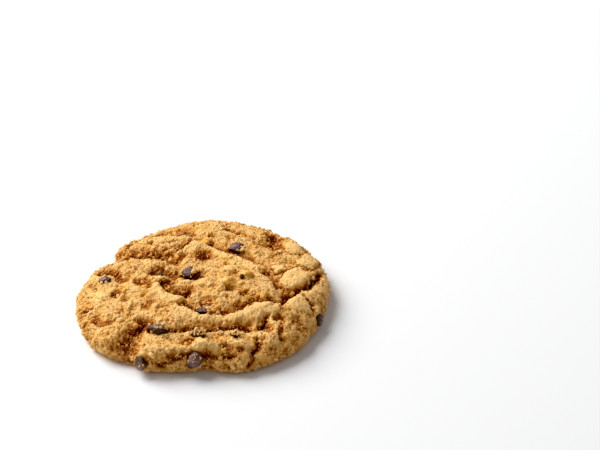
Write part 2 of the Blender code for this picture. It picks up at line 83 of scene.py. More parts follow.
# each fold: its lip line from left to right, the depth behind it, the run of the slope up again, the rise of the lip,
# how smooth and how round it is
folds = {
    "backRim": (
        ((-36, 14), (-33.7, 17.1), (-28, 19.8), (-24.6, 23), (-19.7, 25.8), (-11.3, 25.4), (-2.4, 24.3)),
        3.2, 6, 0.4, 0.3, 0,
    ),
    "upperLeft": (
        ((-38, 6.5), (-32.4, 7.8), (-27.2, 11), (-20.1, 9.6), (-14.2, 7.1), (-8.4, 3.8)), 3.4, 6.5, 0.4, 0.3, 0,
    ),
    "middleLeft": (((-41.1, 5.6), (-36.7, 1.9), (-32.4, 0.8), (-29.8, -2.2), (-28.2, -6.5)), 2.2, 3, 0.3, 0.3, 0),
    "middle": (
        ((-20.2, 0.7), (-17, -1.7), (-13.5, -1.6), (-10.2, -3.4), (-4, -4.5), (2, -3.5)), 2.4, 4, 0.4, 0.4, 0,
    ),
    "leftInner": (((-24.2, -2.7), (-21.9, -6.9), (-19.2, -8.8), (-16.9, -10.3)), 2.4, 3.5, 0.3, 0.4, 0),
    "midInner": (
        ((-16, -3), (-15.1, -5.7), (-13.6, -9.2), (-11.6, -11.4), (-9, -13.1), (-6.8, -14.2), (-4.3, -16)),
        2.8, 4.5, 0.6, 0.8, 0,
    ),
    "smile": ((
        (-9, -17.2), (-5, -20.5), (-2.2, -22.7), (1.3, -24.4), (6.1, -24.3), (10.3, -23.4), (14.4, -20.3),
        (19.3, -17.5), (24.3, -16.9), (27, -17.3),
    ), 2.6, 4.6, 0.8, 0.75, 0.2),
    "rightCrevice": ((
        (26.5, -18.2), (28.3, -15.3), (29.7, -13), (31.7, -11), (35.1, -7.6), (37.1, -5.7), (38.6, -2.6),
        (40.9, 1.4), (41.5, 8),
    ), 3.3, 1.5, 0.4, 0.6, 0),
    "front": ((
        (-17.4, -25), (-17, -28.5), (-15.4, -30.2), (-11.5, -31.2), (-3.1, -32), (3, -32.1), (7.8, -30.6),
        (13.6, -30), (17.9, -30.4),
    ), 3, 3.9, -0.7, 0.3, 0.9),
    "frontRight": (((18.5, -31.5), (21, -27), (24, -22)), 2.4, 2.2, 0.2, 0.3, 0.4),
    "chipTrough": ((
        (-7.8, 12.9), (-5.8, 17), (-2.6, 19.4), (2, 15.8), (7, 12.2), (10.9, 10.2), (14.2, 7.5), (18.1, 4.1),
        (21.3, 2),
    ), 2.4, 4, 0.7, 0.6, 0.3),
    "backInner": (((4, 30), (11, 26), (18, 22.5)), 2, 3.5, 0.3, 0.2, 0.3),
    "rightInner": (((17, 1), (22, -4), (24, -10)), 1.4, 2.5, 0.3, 0.2, 0),
    "leftOuter": (((-37, -20), (-31, -25.3), (-26, -26)), 1.4, 2.5, 0.3, 0.1, 0),
}
cracks = {  # line, depth, half width
    "frontLeft": (
        ((-17.3, -23), (-18.4, -26.5), (-20.8, -29.8), (-22.4, -33.5), (-24, -38), (-24.2, -43), (-24.2, -49)),
        2.6, 2.7,
    ),
    "right": (((33.5, -10), (35.6, -12.6), (37, -14), (37.5, -17.5)), 1.9, 0.9),
    "left": (((-39.5, -14.5), (-36.5, -16.2), (-34, -14.8)), 1.8, 1.1),
    "rightLong": (((24.5, -20), (25.6, -25), (25, -30), (27.5, -33)), 1.2, 0.9),
    "frontFace": (((18.1, -31.6), (18.4, -35), (16.6, -37.8), (17.4, -40.5), (16, -44)), 1.9, 1.1),
    "underLip": (((-11, -42.5), (-6, -41.5), (-1, -41.8), (5, -41.6), (12, -39.8)), 1, 1.2),
    "backNotch": (((21.8, 31), (23.7, 25.7), (24, 20.3), (22.8, 16)), 2.9, 2.9),
}
hollows = (  # place, radius, depth
    (0, 11.5, 3.4, 2.4), (-29, 16.5, 3, 1.4), (-17.3, 11.8, 2.5, 1.8), (-11.1, 13.8, 1.7, 1.4), (2, -16.5, 2.6, 1.4),
    (9.2, -8.7, 1.9, 1.4), (14, -11, 1.6, 1.2), (-28, -10.3, 1.8, 1.5), (-24.5, -13.5, 1.5, 1), (8.5, 24, 1.8, 1.2),
    (2.3, 24.5, 1.5, 1.3), (15.5, 10.2, 1.7, 1.3), (23.6, 22, 2.2, 1), (30.5, -22.6, 2, 0.8), (33, -25, 2.2, 0.8),
    (20.7, -27.2, 2.1, 1.7), (24, -23.8, 1.2, 1.1), (-19.5, -36.5, 2.6, 1.2), (-3.5, -36, 2.2, 1.7),
    (-12, -43.5, 2.2, 1.4), (-8.5, -40.8, 1.8, 1.3), (8.5, -38, 2.6, 1.5), (13, -38, 1.5, 1.2), (3, -43, 2.6, 1.5),
    (-34, 3, 2, 0.8), (27.5, -12, 2.2, 1.3), (3.5, -49, 3, 2.6), (-22, -49.5, 2, 1.6), (-16.1, -15.8, 1.7, 1.1),
    (-17.2, -18.5, 1.5, 1), (18.8, 21, 2.4, 1),
)
swells = (  # place, radius, rise, how smooth
    (20, -20.5, 4, 0.9, 0.9), (32, -15.5, 4, 1.2, 0.9), (0, -37, 2.8, 0.8, 0.9), (14.2, -1.4, 1.9, 1.2, 0.7),
    (20.1, -13.4, 2.1, 1.2, 0.7), (-0.1, 21.7, 1.7, 1.2, 0.7), (8.6, 2.3, 1.6, 0.8, 0.9), (9, -5.2, 2, 1, 0.8),
    (28, 20, 4.5, 0.7, 0.7), (22.4, -31.7, 2.8, 0.9, 0.3), (26.3, -25.2, 1.8, 0.7, 0.2), (-13, -36, 4.5, 0.8, 0.3),
    (-30, -31, 5, 0.7, 0.3), (-3, 18, 3, 0.8, 0.7), (-33, -11, 4, 0.5, 0.5), (-12, -26, 3, 0.4, 0.2),
    (30, -28, 4, 0.6, 0.2),
)
plates = {  # place, length, width, turn, rise: pieces of smooth crust with a step round them
    "wide": ((31.2, -1.6), 12.6, 8, 58, 1.3),
    "small": ((25.4, 3.4), 5.4, 4.4, 20, 0.9),
    "outer": ((35.6, 11.8), 9.5, 6, 70, 0.9),
    "back": ((30.5, 19), 8, 6, 110, 0.7),
}
paintedShade = {  # painted shade in the crevices, the back notch and on the walls that face away from the light: line, half width, how dark
    "crevice": (((26.4, -12.6), (29.5, -9.9), (32.9, -6.4), (35.8, -2.5), (38.4, 3)), 1.9, 0.75),
    "notch": (((16.5, 17.6), (19.5, 18.4), (22, 17.5), (24.9, 13.8)), 1.9, 0.8),
    "notchBack": (((23, 30), (23.4, 23), (24.2, 17)), 2.9, 1),
    "upperBand": (((-34, 15.5), (-28.8, 12.8), (-24.8, 12.4), (-20.2, 11), (-15.5, 8.6), (-11, 6.2)), 1.8, 0.6),
    "rightWall": (((27.5, -20.5), (31, -25), (30.5, -30), (26.5, -34.5), (22, -38)), 3.2, 0.4),
    "leftWall": (((-19, -25), (-22.5, -30.5), (-24.5, -36), (-25.5, -42)), 3.4, 0.55),
    "frontWall": (((-9, -37.5), (-2, -38), (5, -36.5), (12, -36)), 2.6, 0.35),
    "smileWall": (((-4, -27.5), (3, -28.3), (9, -27.2), (14, -25.5)), 1.6, 0.35),
}
brownRim = {"from": 35, "over": 8, "brown": 0.3}  # how far from the middle it starts, over what way it grows
golden = (  # place, radius, how golden: lumps of dough that took more sugar
    (14.2, -1.4, 2, 0.9), (9.3, -6.2, 2.4, 0.7), (20.1, -13.4, 2.2, 0.8), (-0.1, 21.7, 2, 1),
    (-25, -8.5, 2.2, 0.6), (-6.5, -1.5, 1.8, 0.9), (16, 9, 1.8, 0.6), (-19, -12, 2, 0.5), (3, -10, 2.2, 0.4),
    (29, 8, 1.6, 0.6), (7.5, 7.5, 2, 0.5),
)
shelves = {  # line, half width, rise: the shoulders of the rim
    "front": ((
        (-19.3, -34.8), (-15.9, -37.3), (-11.6, -38.8), (-7.4, -38.8), (-1.4, -38.4), (5, -38), (10.2, -36.6),
        (16.9, -35.6),
    ), 2.4, 1.2),
}
chips = {  # place on the crust, length, width, how far it is turned, how far it stands proud, how far it is lifted
    "chip_01": ((11, 16.1), 5.6, 5.2, 20, 1.5, 0),
    "chip_02": ((-4.3, 0.7), 6.6, 4.6, 5, 1.3, 0.2),
    "chip_03": ((-32.6, -2.8), 4.4, 3.8, -10, 1.2, 0),
    "chip_04": ((-12.8, -30), 6.4, 3.6, -22, 1.5, 1.3),
    "chip_05": ((-0.3, -32.9), 5.2, 3.4, 0, 1, 0.8),
    "chip_06": ((11, -32), 2.8, 2.4, 0, 0.8, 0.6),
    "chip_07": ((-1.2, -43.3), 5.8, 5.6, 60, 1.9, 0.2),
    "chip_08": ((-17.8, -40.8), 4.8, 4.2, 70, 1.7, 0.2),
    "chip_09": ((41.2, -17.5), 4.4, 3.8, 60, 1.6, 0),
    "chip_10": ((0.9, -20), 4.4, 2.8, -8, 0.8, 0.2),
    "chip_11": ((-7.5, 44.2), 5.2, 4.4, 15, 1.5, 0),
    "chip_12": ((22.5, 38.6), 4.6, 4, -30, 1.4, 0),
}
underChips = {"chip_13": ((-13.5, 16.0), 5.4), "chip_14": ((19.0, -11.5), 4.8)}  # place in the underside, width
chipSeat = {  # the crust at a chip: how far off each side its slope is read, how calm and how low it is under the chip,
    # and how high and how uneven the ring of dough round it is
    "reach": 1.2, "calm": 0.7, "sink": 0.5, "ring": 0.45, "uneven": 0.6, "unevenSize": 1.8,
}


def hash01(i, j, seed):
    # a number from 0 to 1 for each lattice cell, by mixing whole numbers
    h = (i.astype(np.int64) * 374761393 + j.astype(np.int64) * 668265263 + seed * 1442695041) & 0xFFFFFFFF
    h = ((h ^ (h >> 13)) * 1274126177) & 0xFFFFFFFF
    h = ((h ^ (h >> 16)) * 2246822519) & 0xFFFFFFFF
    return ((h ^ (h >> 15)) & 0xFFFFFF) / 0xFFFFFF


def smoothNoise(u, v, size, seed):
    # lattice noise from -1 to 1: random slopes at the corners of each cell, blended by a quintic curve
    x, y = u / size, v / size
    i, j = np.floor(x), np.floor(y)
    fx, fy = x - i, y - j
    sx, sy = fx**3 * (fx * (fx * 6 - 15) + 10), fy**3 * (fy * (fy * 6 - 15) + 10)
    total = np.zeros_like(x)
    for a in (0, 1):
        for b in (0, 1):
            turn = 2 * np.pi * hash01(i + a, j + b, seed)
            slope = np.cos(turn) * (fx - a) + np.sin(turn) * (fy - b)
            total += slope * (sx if a else 1 - sx) * (sy if b else 1 - sy)
    return 1.5 * total


def layeredNoise(u, v, size, seed, layers=3):
    # noise of a size, plus half as much of half the size, and so on
    return sum(0.5**k * smoothNoise(u, v, size / 2**k, seed + k) for k in range(layers))


def billowed(u, v, size, seed, layers=3):
    # |noise| of a size, plus 0.6 of it at half the size, and so on: rounded tops with sharp valleys between
    return sum(0.6**k * (2.4 * np.abs(smoothNoise(u, v, size / 2**k, seed + k)) - 0.7) for k in range(layers))


def cellsRound(u, v, size, seed, margin, spread):
    # for each of the nine lattice cells round a place: the way to its scattered middle, and what gives its numbers
    x, y = u / size, v / size
    i, j = np.floor(x), np.floor(y)
    for a in (-1, 0, 1):
        for b in (-1, 0, 1):
            ci, cj = i + a, j + b
            cx = ci + margin + spread * hash01(ci, cj, seed) - x
            cy = cj + margin + spread * hash01(ci, cj, seed + 1) - y
            yield cx, cy, lambda k, ci=ci, cj=cj: hash01(ci, cj, seed + k)


def heaped(u, v, size, seed):
    # a heap of rounded blocks, one in each lattice cell, of random place, turn, width and height:
    # height = (1 - |across|^2.6 - |away|^2.6)^0.45 of each, and the highest one shows
    top = np.zeros_like(u)
    for cx, cy, lot in cellsRound(u, v, size, seed, 0.15, 0.7):
        width, turn, stretch = 0.45 + 0.4 * lot(2), np.pi * lot(3), 0.75 + 0.5 * lot(4)
        du = np.abs(np.cos(turn) * cx + np.sin(turn) * cy) / (width * stretch)
        dv = np.abs(-np.sin(turn) * cx + np.cos(turn) * cy) / (width / stretch)
        inside = np.clip(1 - du**2.6 - dv**2.6, 0, 1)
        top = np.maximum(top, inside**0.45 * (0.5 + 0.5 * lot(6) + 0.35 * (lot(5) - 0.5) * (cx + cy)))
    return top


def pits(u, v, size, seed, share):
    # small round holes in a share of the lattice cells: depth = exp(-(distance / width)^3)
    deep = np.zeros_like(u)
    for cx, cy, lot in cellsRound(u, v, size, seed, 0, 1):
        width = 0.2 + 0.22 * lot(2)
        deep = np.maximum(deep, (lot(3) < share) * np.exp(-(((cx * cx + cy * cy) / width**2) ** 1.5)))
    return deep


def smoothLine(points, steps=8):
    # a Catmull-Rom curve through the points
    p = np.array(points, float)
    p = np.vstack([2 * p[0] - p[1], p, 2 * p[-1] - p[-2]])
    t = np.linspace(0, 1, steps, endpoint=False)[:, None]
    out = []
    for a, b, c, d in zip(p, p[1:], p[2:], p[3:]):
        out.append(0.5 * (2 * b + (c - a) * t + (2 * a - 5 * b + 4 * c - d) * t**2 + (3 * b - a - 3 * c + d) * t**3))
    return np.vstack(out + [p[-2:-1]])


def nearLine(u, v, points):
    # the distance to the curve, positive on its left hand, the way along it, and its length
    line = smoothLine(points)
    ways = np.append(0, np.cumsum(np.hypot(*np.diff(line, axis=0).T)))
    best, signed, along = np.full(u.shape, 1e9), np.zeros(u.shape), np.zeros(u.shape)
    for way, (x0, y0), (x1, y1) in zip(ways, line, line[1:]):
        dx, dy = x1 - x0, y1 - y0
        t = np.clip(((u - x0) * dx + (v - y0) * dy) / (dx * dx + dy * dy), 0, 1)
        ex, ey = u - x0 - t * dx, v - y0 - t * dy
        square = ex * ex + ey * ey
        closer = square < best
        best = np.where(closer, square, best)
        signed = np.where(closer, np.sign(dx * ey - dy * ex) * np.sqrt(square), signed)
        along = np.where(closer, way + t * math.hypot(dx, dy), along)
    return signed, along, ways[-1]


def eased(t):
    # 3 t^2 - 2 t^3
    return t * t * (3 - 2 * t)


def endsOf(along, length, over, start=0.0):
    # from start at both ends of a line up to 1
    return np.clip(np.minimum(along, length - along) / over + start, 0, 1)


def lineBell(u, v, points, halfWidth, power, over, start=0.0):
    # exp(-(|distance| / half width)^power), faded at both ends of the line
    d, along, length = nearLine(u, v, points)
    return endsOf(along, length, over, start) * np.exp(-((np.abs(d) / halfWidth) ** power))


def turnedPlace(u, v, middle, turn, length, width):
    # the place along and across a turned oval, in half lengths and half widths
    (x, y), a = middle, math.radians(turn)
    du = (np.cos(a) * (u - x) + np.sin(a) * (v - y)) / (length / 2)
    dv = (-np.sin(a) * (u - x) + np.cos(a) * (v - y)) / (width / 2)
    return du, dv


def bell(u, v, x, y, radius):
    # exp(-(distance / radius)^2.6)
    return np.exp(-((((u - x) ** 2 + (v - y) ** 2) / radius**2) ** 1.3))


def bigRelief(u, v):
    # the folds, cracks, hollows, swells and lumps: how high the crust stands, how dark it is, which is painted shade at
    # the feet of folds, in cracks and hollows and round the plates, and how smooth it is
    look = foldLook
    wu = u + look["waver"] * layeredNoise(u, v, look["waverSize"], 11)
    wv = v + look["waver"] * layeredNoise(u, v, look["waverSize"], 21)
    height = look["broad"] * layeredNoise(u, v, look["broadSize"], 31)
    dark, smooth = np.zeros_like(u), np.zeros_like(u)
    for number, (points, depth, run, rise, calm, rounded) in enumerate(folds.values()):
        # a lip, a drop just behind it, exp(-1.5 (d / width)^1.3), and a slope up again: exp(-(1.1 d / run)^2), or on a
        # round roll 1 - (1 - (1 - d / 1.3 run)^1.8)^(1 / 1.8)
        d, along, length = nearLine(wu, wv, points)
        ends = eased(endsOf(along, length, look["ends"]))
        flute = smoothNoise(along / look["fluteSize"][0], d / look["fluteSize"][1], 1.0, 201 + number)
        up = np.clip(d - look["drop"], 0, None) / (run * (1 + 0.3 * flute))
        drop = np.exp(-1.5 * (np.clip(look["drop"] - d, 0, None) / look["dropWidth"]) ** 1.3)
        roll = 1 - (1 - np.clip(1 - up / 1.3, 0, 1) ** 1.8) ** (1 / 1.8)
        slope = np.where(d > look["drop"], (1 - rounded) * np.exp(-((1.1 * up) ** 2)) + rounded * roll, drop)
        lip = np.exp(-(((d + look["lip"]) / look["lipWidth" if rise > 0 else "sunkWidth"]) ** 2))
        fluting = look["fluting"] * flute * min(depth, 2.5) * up * np.exp(1 - 2.2 * up)
        height += ends * (rise * lip - depth * slope + fluting)
        # painted shade up the slope behind each lip, where it faces away from the light
        brown = np.where(d > 0.8, np.exp(-((up * (1 + 1.8 * rounded)) ** 3)), 0)
        dark = np.maximum(dark, ends * brown * min(1, depth / 2.8))
        smooth = np.maximum(smooth, calm * ends * np.exp(-(((d + 1.7) / 2.0) ** 2)))
    # painted shade in the cracks and the hollows, darker where deeper
    for points, depth, halfWidth in cracks.values():
        gash = lineBell(wu, wv, points, halfWidth, 1.8, 2.0)
        height -= depth * gash
        dark = np.maximum(dark, gash * min(1, depth / 1.8))
    for x, y, radius, depth in hollows:
        dip = bell(wu, wv, x, y, radius)
        height -= depth * dip
        dark = np.maximum(dark, 0.9 * dip * min(1, depth / 2.0))
    for x, y, radius, rise, calm in swells:
        lift = bell(wu, wv, x, y, radius)
        height += rise * lift
        smooth = np.maximum(smooth, calm * np.clip(1.4 * lift, 0, 1))
    raggedU = wu + look["ragged"] * layeredNoise(u, v, look["raggedSize"], 41, 2)
    raggedV = wv + look["ragged"] * layeredNoise(u, v, look["raggedSize"], 43, 2)
    for middle, length, width, turn, rise in plates.values():
        # exp(-(|along|^7 + |across|^7)): a flat top with a steep edge, and a ring of painted shade just outside it
        du, dv = turnedPlace(raggedU, raggedV, middle, turn, length, width)
        flat = np.exp(-(np.abs(du) ** 7 + np.abs(dv) ** 7))
        height += rise * flat
        smooth = np.maximum(smooth, flat)
        reach = (np.abs(du) ** 7 + np.abs(dv) ** 7) ** (1 / 7)
        dark = np.maximum(dark, 0.8 * np.exp(-(((reach - 1.12) / 0.09) ** 2)))
    for points, halfWidth, rise in shelves.values():
        # exp(-(distance / half width)^2)
        d, along, length = nearLine(wu, wv, points)
        ends = endsOf(along, length, 4.0)
        height += rise * ends * np.exp(-((d / halfWidth) ** 2))
        smooth = np.maximum(smooth, 0.5 * ends * np.exp(-(((d - 1.0) / halfWidth) ** 2)))
    height += look["lumpRise"] * (1 - 0.85 * smooth) * (heaped(wu, wv, look["lumpSize"], 71) - 0.65)
    return height, dark, np.clip(smooth - 0.8 * dark, 0, 1)


crumbLook = {  # millimetres high, millimetres across, and the share of places that have a hole
    "uneven": 0.3, "unevenSize": 2.6, "billowSize": 2.9,
    "coarse": 0.66, "coarseSize": 2.7,
    "mid": 0.37, "midSize": 1.3,
    "pit": 0.45, "pitSize": 1.9, "pitShare": 0.3,
    "prick": 0.5, "prickSize": 0.85, "prickShare": 0.5,
    "patchSize": 7.0,  # how far apart the coarser and the calmer patches of crust are
    "waver": 0.7, "waverSize": 2.1,
}


def fineRelief(u, v, smooth, dark):
    # the broken crumb: uneven crust, crumbs of two sizes and small holes, weaker where the crust is smooth
    look = crumbLook
    patch = np.clip(0.65 + 1.1 * layeredNoise(u, v, look["patchSize"], 51), 0.1, 1.4)
    calm = 1 - 0.88 * smooth
    rough = np.clip(patch + 0.8 * dark, 0, 1.5) * calm
    wu = u + look["waver"] * layeredNoise(u, v, look["waverSize"], 61, 2)
    wv = v + look["waver"] * layeredNoise(u, v, look["waverSize"], 62, 2)
    wave = 0.5 * (0.3 + 0.7 * calm) * layeredNoise(wu, wv, look["unevenSize"], 111, 3)
    height = look["uneven"] * (wave + 0.55 * rough * billowed(wu, wv, look["billowSize"], 115, 4))
    height += (0.15 * calm + 0.85 * rough) * look["coarse"] * (heaped(wu, wv, look["coarseSize"], 81) - 0.6)
    height += (0.25 * calm + 0.75 * rough) * look["mid"] * (heaped(wu, wv, look["midSize"], 91) - 0.6)
    height -= (0.35 + 0.65 * rough) * look["pit"] * pits(wu, wv, look["pitSize"], 141, look["pitShare"])
    height -= (0.5 + 0.5 * rough) * look["prick"] * pits(u, v, look["prickSize"], 151, look["prickShare"])
    return height, rough


def section(steps=3000):
    # half a section: z = waist + rise (1 - (r / radius)^shoulder)^(1 / shoulder), then a quarter ellipse below
    t = np.linspace(np.pi / 2, 0, steps)
    r = cookie["radius"] * np.cos(t) ** (2 / cookie["shoulder"])
    z = cookie["waist"] + (cookie["crown"] - cookie["waist"]) * np.sin(t) ** (2 / cookie["shoulder"])
    under = np.linspace(0, np.pi / 2, steps // 4)[1:]
    r = np.append(r, cookie["radius"] - cookie["tuck"] * (1 - np.cos(under)))
    z = np.append(z, cookie["waist"] * (1 - np.sin(under)))
    return np.append(0, np.cumsum(np.hypot(np.diff(r), np.diff(z)))), r, z


sectionWay, sectionRadius, sectionHeight = section()
rimWay = sectionWay[-1]


def smoothRound(u, v):
    # the round without relief: the distance from the middle is the way along the section
    q, angle = np.hypot(u, v), np.arctan2(v, u)
    standOut = np.zeros_like(angle)
    for direction, halfWidth, out in lobes:
        turn = (np.degrees(angle) - direction + 180) % 360 - 180
        standOut += out * np.exp(-((turn / halfWidth) ** 2))
    r = np.interp(q, sectionWay, sectionRadius)
    r = r * (1 + standOut / cookie["radius"] * (r / cookie["radius"]) ** 2)
    return np.stack([r * np.cos(angle), r * np.sin(angle), np.interp(q, sectionWay, sectionHeight)], -1)


def outwardOf(u, v, step=0.05):
    # the unit normal of the smooth round, from the cross product of its two slopes
    across = smoothRound(u + step, v) - smoothRound(u - step, v)
    away = smoothRound(u, v + step) - smoothRound(u, v - step)
    outward = np.cross(across, away)
    return outward / np.linalg.norm(outward, axis=-1, keepdims=True)


def footOf(u, v):
    # the relief fades out just above the floor
    return eased(np.clip((rimWay - np.hypot(u, v)) / cookie["foot"], 0, 1))


def softenedBig(u, v):
    # the big relief averaged over a small square, as the solids hold it
    steps = (-cookie["softened"], 0, cookie["softened"])
    return sum(bigRelief(u + a, v + b)[0] for a in steps for b in steps) / 9


def chipStand(place, turn, lift):
    # where a chip sits on the crust: square to the crust round it, its long side turned
    reach = chipSeat["reach"]
    near = np.array([(0, 0), (reach, 0), (-reach, 0), (0, reach), (0, -reach)]) + place
    u, v = near[:, 0], near[:, 1]
    outward = outwardOf(u, v)
    points = smoothRound(u, v) + outward * (footOf(u, v) * softenedBig(u, v))[:, None]
    points[:, :2] -= cookie["centre"]
    slope = np.cross(points[1] - points[2], points[3] - points[4])
    normal = (Vector(outward[0]) + Vector(slope).normalized()).normalized()
    across = (Vector((1, 0, 0)) - normal * normal.x).normalized()
    stand = Matrix((across, normal.cross(across), normal)).transposed()
    return points.mean(0) + lift * np.array(normal), np.array(stand @ Matrix.Rotation(math.radians(turn), 3, "Z"))


def nearChips(u, v):
    # how far each place lies under a chip, exp(-q^4), and in the ring of dough round one, exp(-((q - 1.25) / 0.22)^2),
    # where q is the distance from its middle in half widths
    under, ring = np.zeros_like(u), np.zeros_like(u)
    for middle, length, width, turn, _, _ in chips.values():
        q = np.hypot(*turnedPlace(u, v, middle, turn, length, width))
        under = np.maximum(under, np.exp(-(q**4)))
        ring = np.maximum(ring, np.exp(-(((q - 1.25) / 0.22) ** 2)))
    return under, ring


def paintedShadeOf(u, v):
    # how much of the painted shade lies here, its edge made ragged by noise, and the crust a little darker all round
    # the rim
    share = np.zeros_like(u)
    wu, wv = u + 0.9 * layeredNoise(u, v, 2.4, 191), v + 0.9 * layeredNoise(u, v, 2.4, 192)
    for points, halfWidth, brown in paintedShade.values():
        share = np.maximum(share, brown * lineBell(wu, wv, points, halfWidth, 2.5, 2.0, 0.35))
    rim = np.clip((np.hypot(u, v) - brownRim["from"]) / brownRim["over"], 0, 1)
    share = np.maximum(share, brownRim["brown"] * rim * (1 + layeredNoise(u, v, 6.0, 193, 2)))
    return share * np.clip(0.85 + 0.5 * layeredNoise(u, v, 1.6, 194, 2), 0, 1.2)


def goldOf(u, v):
    # how golden the crust is: the greatest share of a lump that reaches here
    return np.max([share * bell(u, v, x, y, radius) for x, y, radius, share in golden], axis=0)


def crustPoints(u, v):
    # points of the finished crust, its directions outward, and what the colours need
    height, dark, smooth = bigRelief(u, v)
    dark = np.maximum(dark, paintedShadeOf(u, v))
    fine, rough = fineRelief(u, v, smooth, dark)
    under, ring = nearChips(u, v)
    foot = footOf(u, v)
    crumbled = chipSeat["uneven"] + layeredNoise(u, v, chipSeat["unevenSize"], 171, 2)
    height = height + fine * (1 - chipSeat["calm"] * under) - chipSeat["sink"] * under
    height += chipSeat["ring"] * ring * crumbled
    outward = outwardOf(u, v)
    points = smoothRound(u, v) + outward * (height * foot)[..., None]
    for axis, seed in ((0, 121), (1, 131)):
        push = cookie["sideways"] * foot * layeredNoise(u, v, cookie["sidewaysSize"], seed, 2)
        points[..., axis] += push - cookie["centre"][axis]
    points[..., 2] = np.maximum(points[..., 2], 0)
    return points, outward, {"height": height * foot, "dark": dark * foot, "smooth": smooth, "rough": rough * foot}


def discGrid(count):
    # a square grid drawn on a disc: each square ring becomes a circle, its points spread evenly round it
    line = np.linspace(-1, 1, count + 1)
    x, y = np.meshgrid(line, line)
    ring = np.maximum(np.abs(x), np.abs(y))
    wide = np.abs(x) >= np.abs(y)
    across, away = np.where(wide, np.where(x == 0, 1, x), 1), np.where(wide, 1, y)
    turn = np.where(wide, np.pi / 4 * y / across, np.pi / 2 - np.pi / 4 * x / away)
    side = np.where(np.where(wide, x, y) < 0, -1, 1)
    return ring * side * np.cos(turn), ring * side * np.sin(turn)


def gridCorners(count):
    # the four corners of each square of a grid, going round it, counted row by row
    corner = np.arange(count * (count + 1)).reshape(count, count + 1)[:, :-1].ravel()
    return corner, corner + 1, corner + count + 2, corner + count + 1


def averaged(grid, times):
    # the grid averaged with its neighbours, as often as asked
    for _ in range(times):
        p = np.pad(grid, 1, mode="edge")
        grid = (p[:-2, 1:-1] + p[2:, 1:-1] + p[1:-1, :-2] + p[1:-1, 2:] + 2 * grid) / 6
    return grid


def newObject(name, data):
    made = bpy.data.objects.new(name, data)
    bpy.context.scene.collection.objects.link(made)
    return made


def makePiece(name, points, triangles, material, values):
    # a smooth mesh object at the origin, from points in millimetres and triangles, with named values at its points
    mesh = bpy.data.meshes.new(name)
    mesh.from_pydata(mm * points, [], triangles)
    mesh.polygons.foreach_set("use_smooth", np.full(len(triangles), True))
    for key, value in values.items():
        mesh.attributes.new(key, "FLOAT", "POINT").data.foreach_set("value", value.astype(np.float32).ravel())
    mesh.validate()
    mesh.materials.append(material)
    piece = newObject(name, mesh)
    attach(piece, "root")
    return piece


# the materials


def newGroup(name, inputs, outputs):
    group = bpy.data.node_groups.new(name, "ShaderNodeTree")
    for label, kind, value in inputs:
        group.interface.new_socket(label, in_out="INPUT", socket_type=kind).default_value = value
    for label, kind in outputs:
        group.interface.new_socket(label, in_out="OUTPUT", socket_type=kind)
    return group, group.nodes.new("NodeGroupInput").outputs, group.nodes.new("NodeGroupOutput").inputs


def addNode(tree, kind, links=None, **settings):
    # a node with its settings, and a value or a link for each named input
    node = tree.nodes.new(kind)
    for key, value in settings.items():
        setattr(node, key, value)
    for key, value in (links or {}).items():
        if isinstance(value, bpy.types.NodeSocket):
            tree.links.new(value, node.inputs[key])
        else:
            node.inputs[key].default_value = value
    return node


def setInputs(node, values):
    for key, value in values.items():
        node.inputs[key].default_value = value


def mathNode(tree, operation, first, second, clamp=False):
    return addNode(tree, "ShaderNodeMath", {0: first, 1: second}, operation=operation, use_clamp=clamp).outputs[0]


def stretched(tree, value, middle, gain, clamp=True):
    # (value - middle) * gain, held between 0 and 1
    return mathNode(tree, "MULTIPLY", mathNode(tree, "SUBTRACT", value, middle), gain, clamp)


def noiseNode(tree, place, scale, detail, roughness):
    sizes = {"Vector": place, "Scale": scale, "Detail": detail, "Roughness": roughness}
    return addNode(tree, "ShaderNodeTexNoise", sizes).outputs["Fac"]


def mixColours(tree, share, first, second, blend="MIX"):
    node = addNode(tree, "ShaderNodeMix", data_type="RGBA", blend_type=blend)
    for socket, value in ((node.inputs[0], share), (node.inputs[6], first), (node.inputs[7], second)):
        if isinstance(value, bpy.types.NodeSocket):
            tree.links.new(value, socket)
        else:
            socket.default_value = value
    return node.outputs[2]


def rampNode(tree, value, stops):
    node = addNode(tree, "ShaderNodeValToRGB", {0: value})
    elements = node.color_ramp.elements
    while len(elements) < len(stops):
        elements.new(0.5)
    for element, (position, colour) in zip(elements, stops):
        element.position = position
        element.color = (*colour, 1)
    return node.outputs[0]


crustLook = {
    "browningAndShade": (  # from the palest tops to the darkest crevices: the dough's own brown, with a painted highlight on the tops and painted shade in the crevices
        (0.0, (0.97, 0.598, 0.225)),
        (0.18, (0.86, 0.449, 0.11)),
        (0.36, (0.61, 0.232, 0.043)),
        (0.52, (0.35, 0.096, 0.014)),
        (0.72, (0.24, 0.044, 0.005)),
        (1.0, (0.13, 0.017, 0.001)),
    ),
    "base": 0.06,  # how brown all of it is
    "cavity": 0.62, "dark": 0.52, "smooth": -0.14,  # how much each of these darkens it, as brown and as painted shade, or pales it
    "patches": 0.4, "patchScale": 230.0,
    "gold": (0.97, 0.48, 0.05), "golden": 0.65,  # colour, and how much of it a golden lump takes
    # painted shade in pits, multiplied into the colour
    "pore": (0.47, 0.285, 0.12),
    "speck": 0.16, "speckFrom": 0.58, "speckScale": 1700.0, "speckEdge": 9.0,  # dark specks of painted shade, as in tiny holes
    "glint": (1.0, 0.70, 0.30), "glints": 0.15, "glintFrom": 0.42,  # pale specks of painted highlight
    "grainSize": 0.62, "grain": 0.3,  # millimetres, and how strongly the fine grain colours it
    "roughness": 0.7, "specular": 0.05,
    "bump": 0.0006,  # metres
}


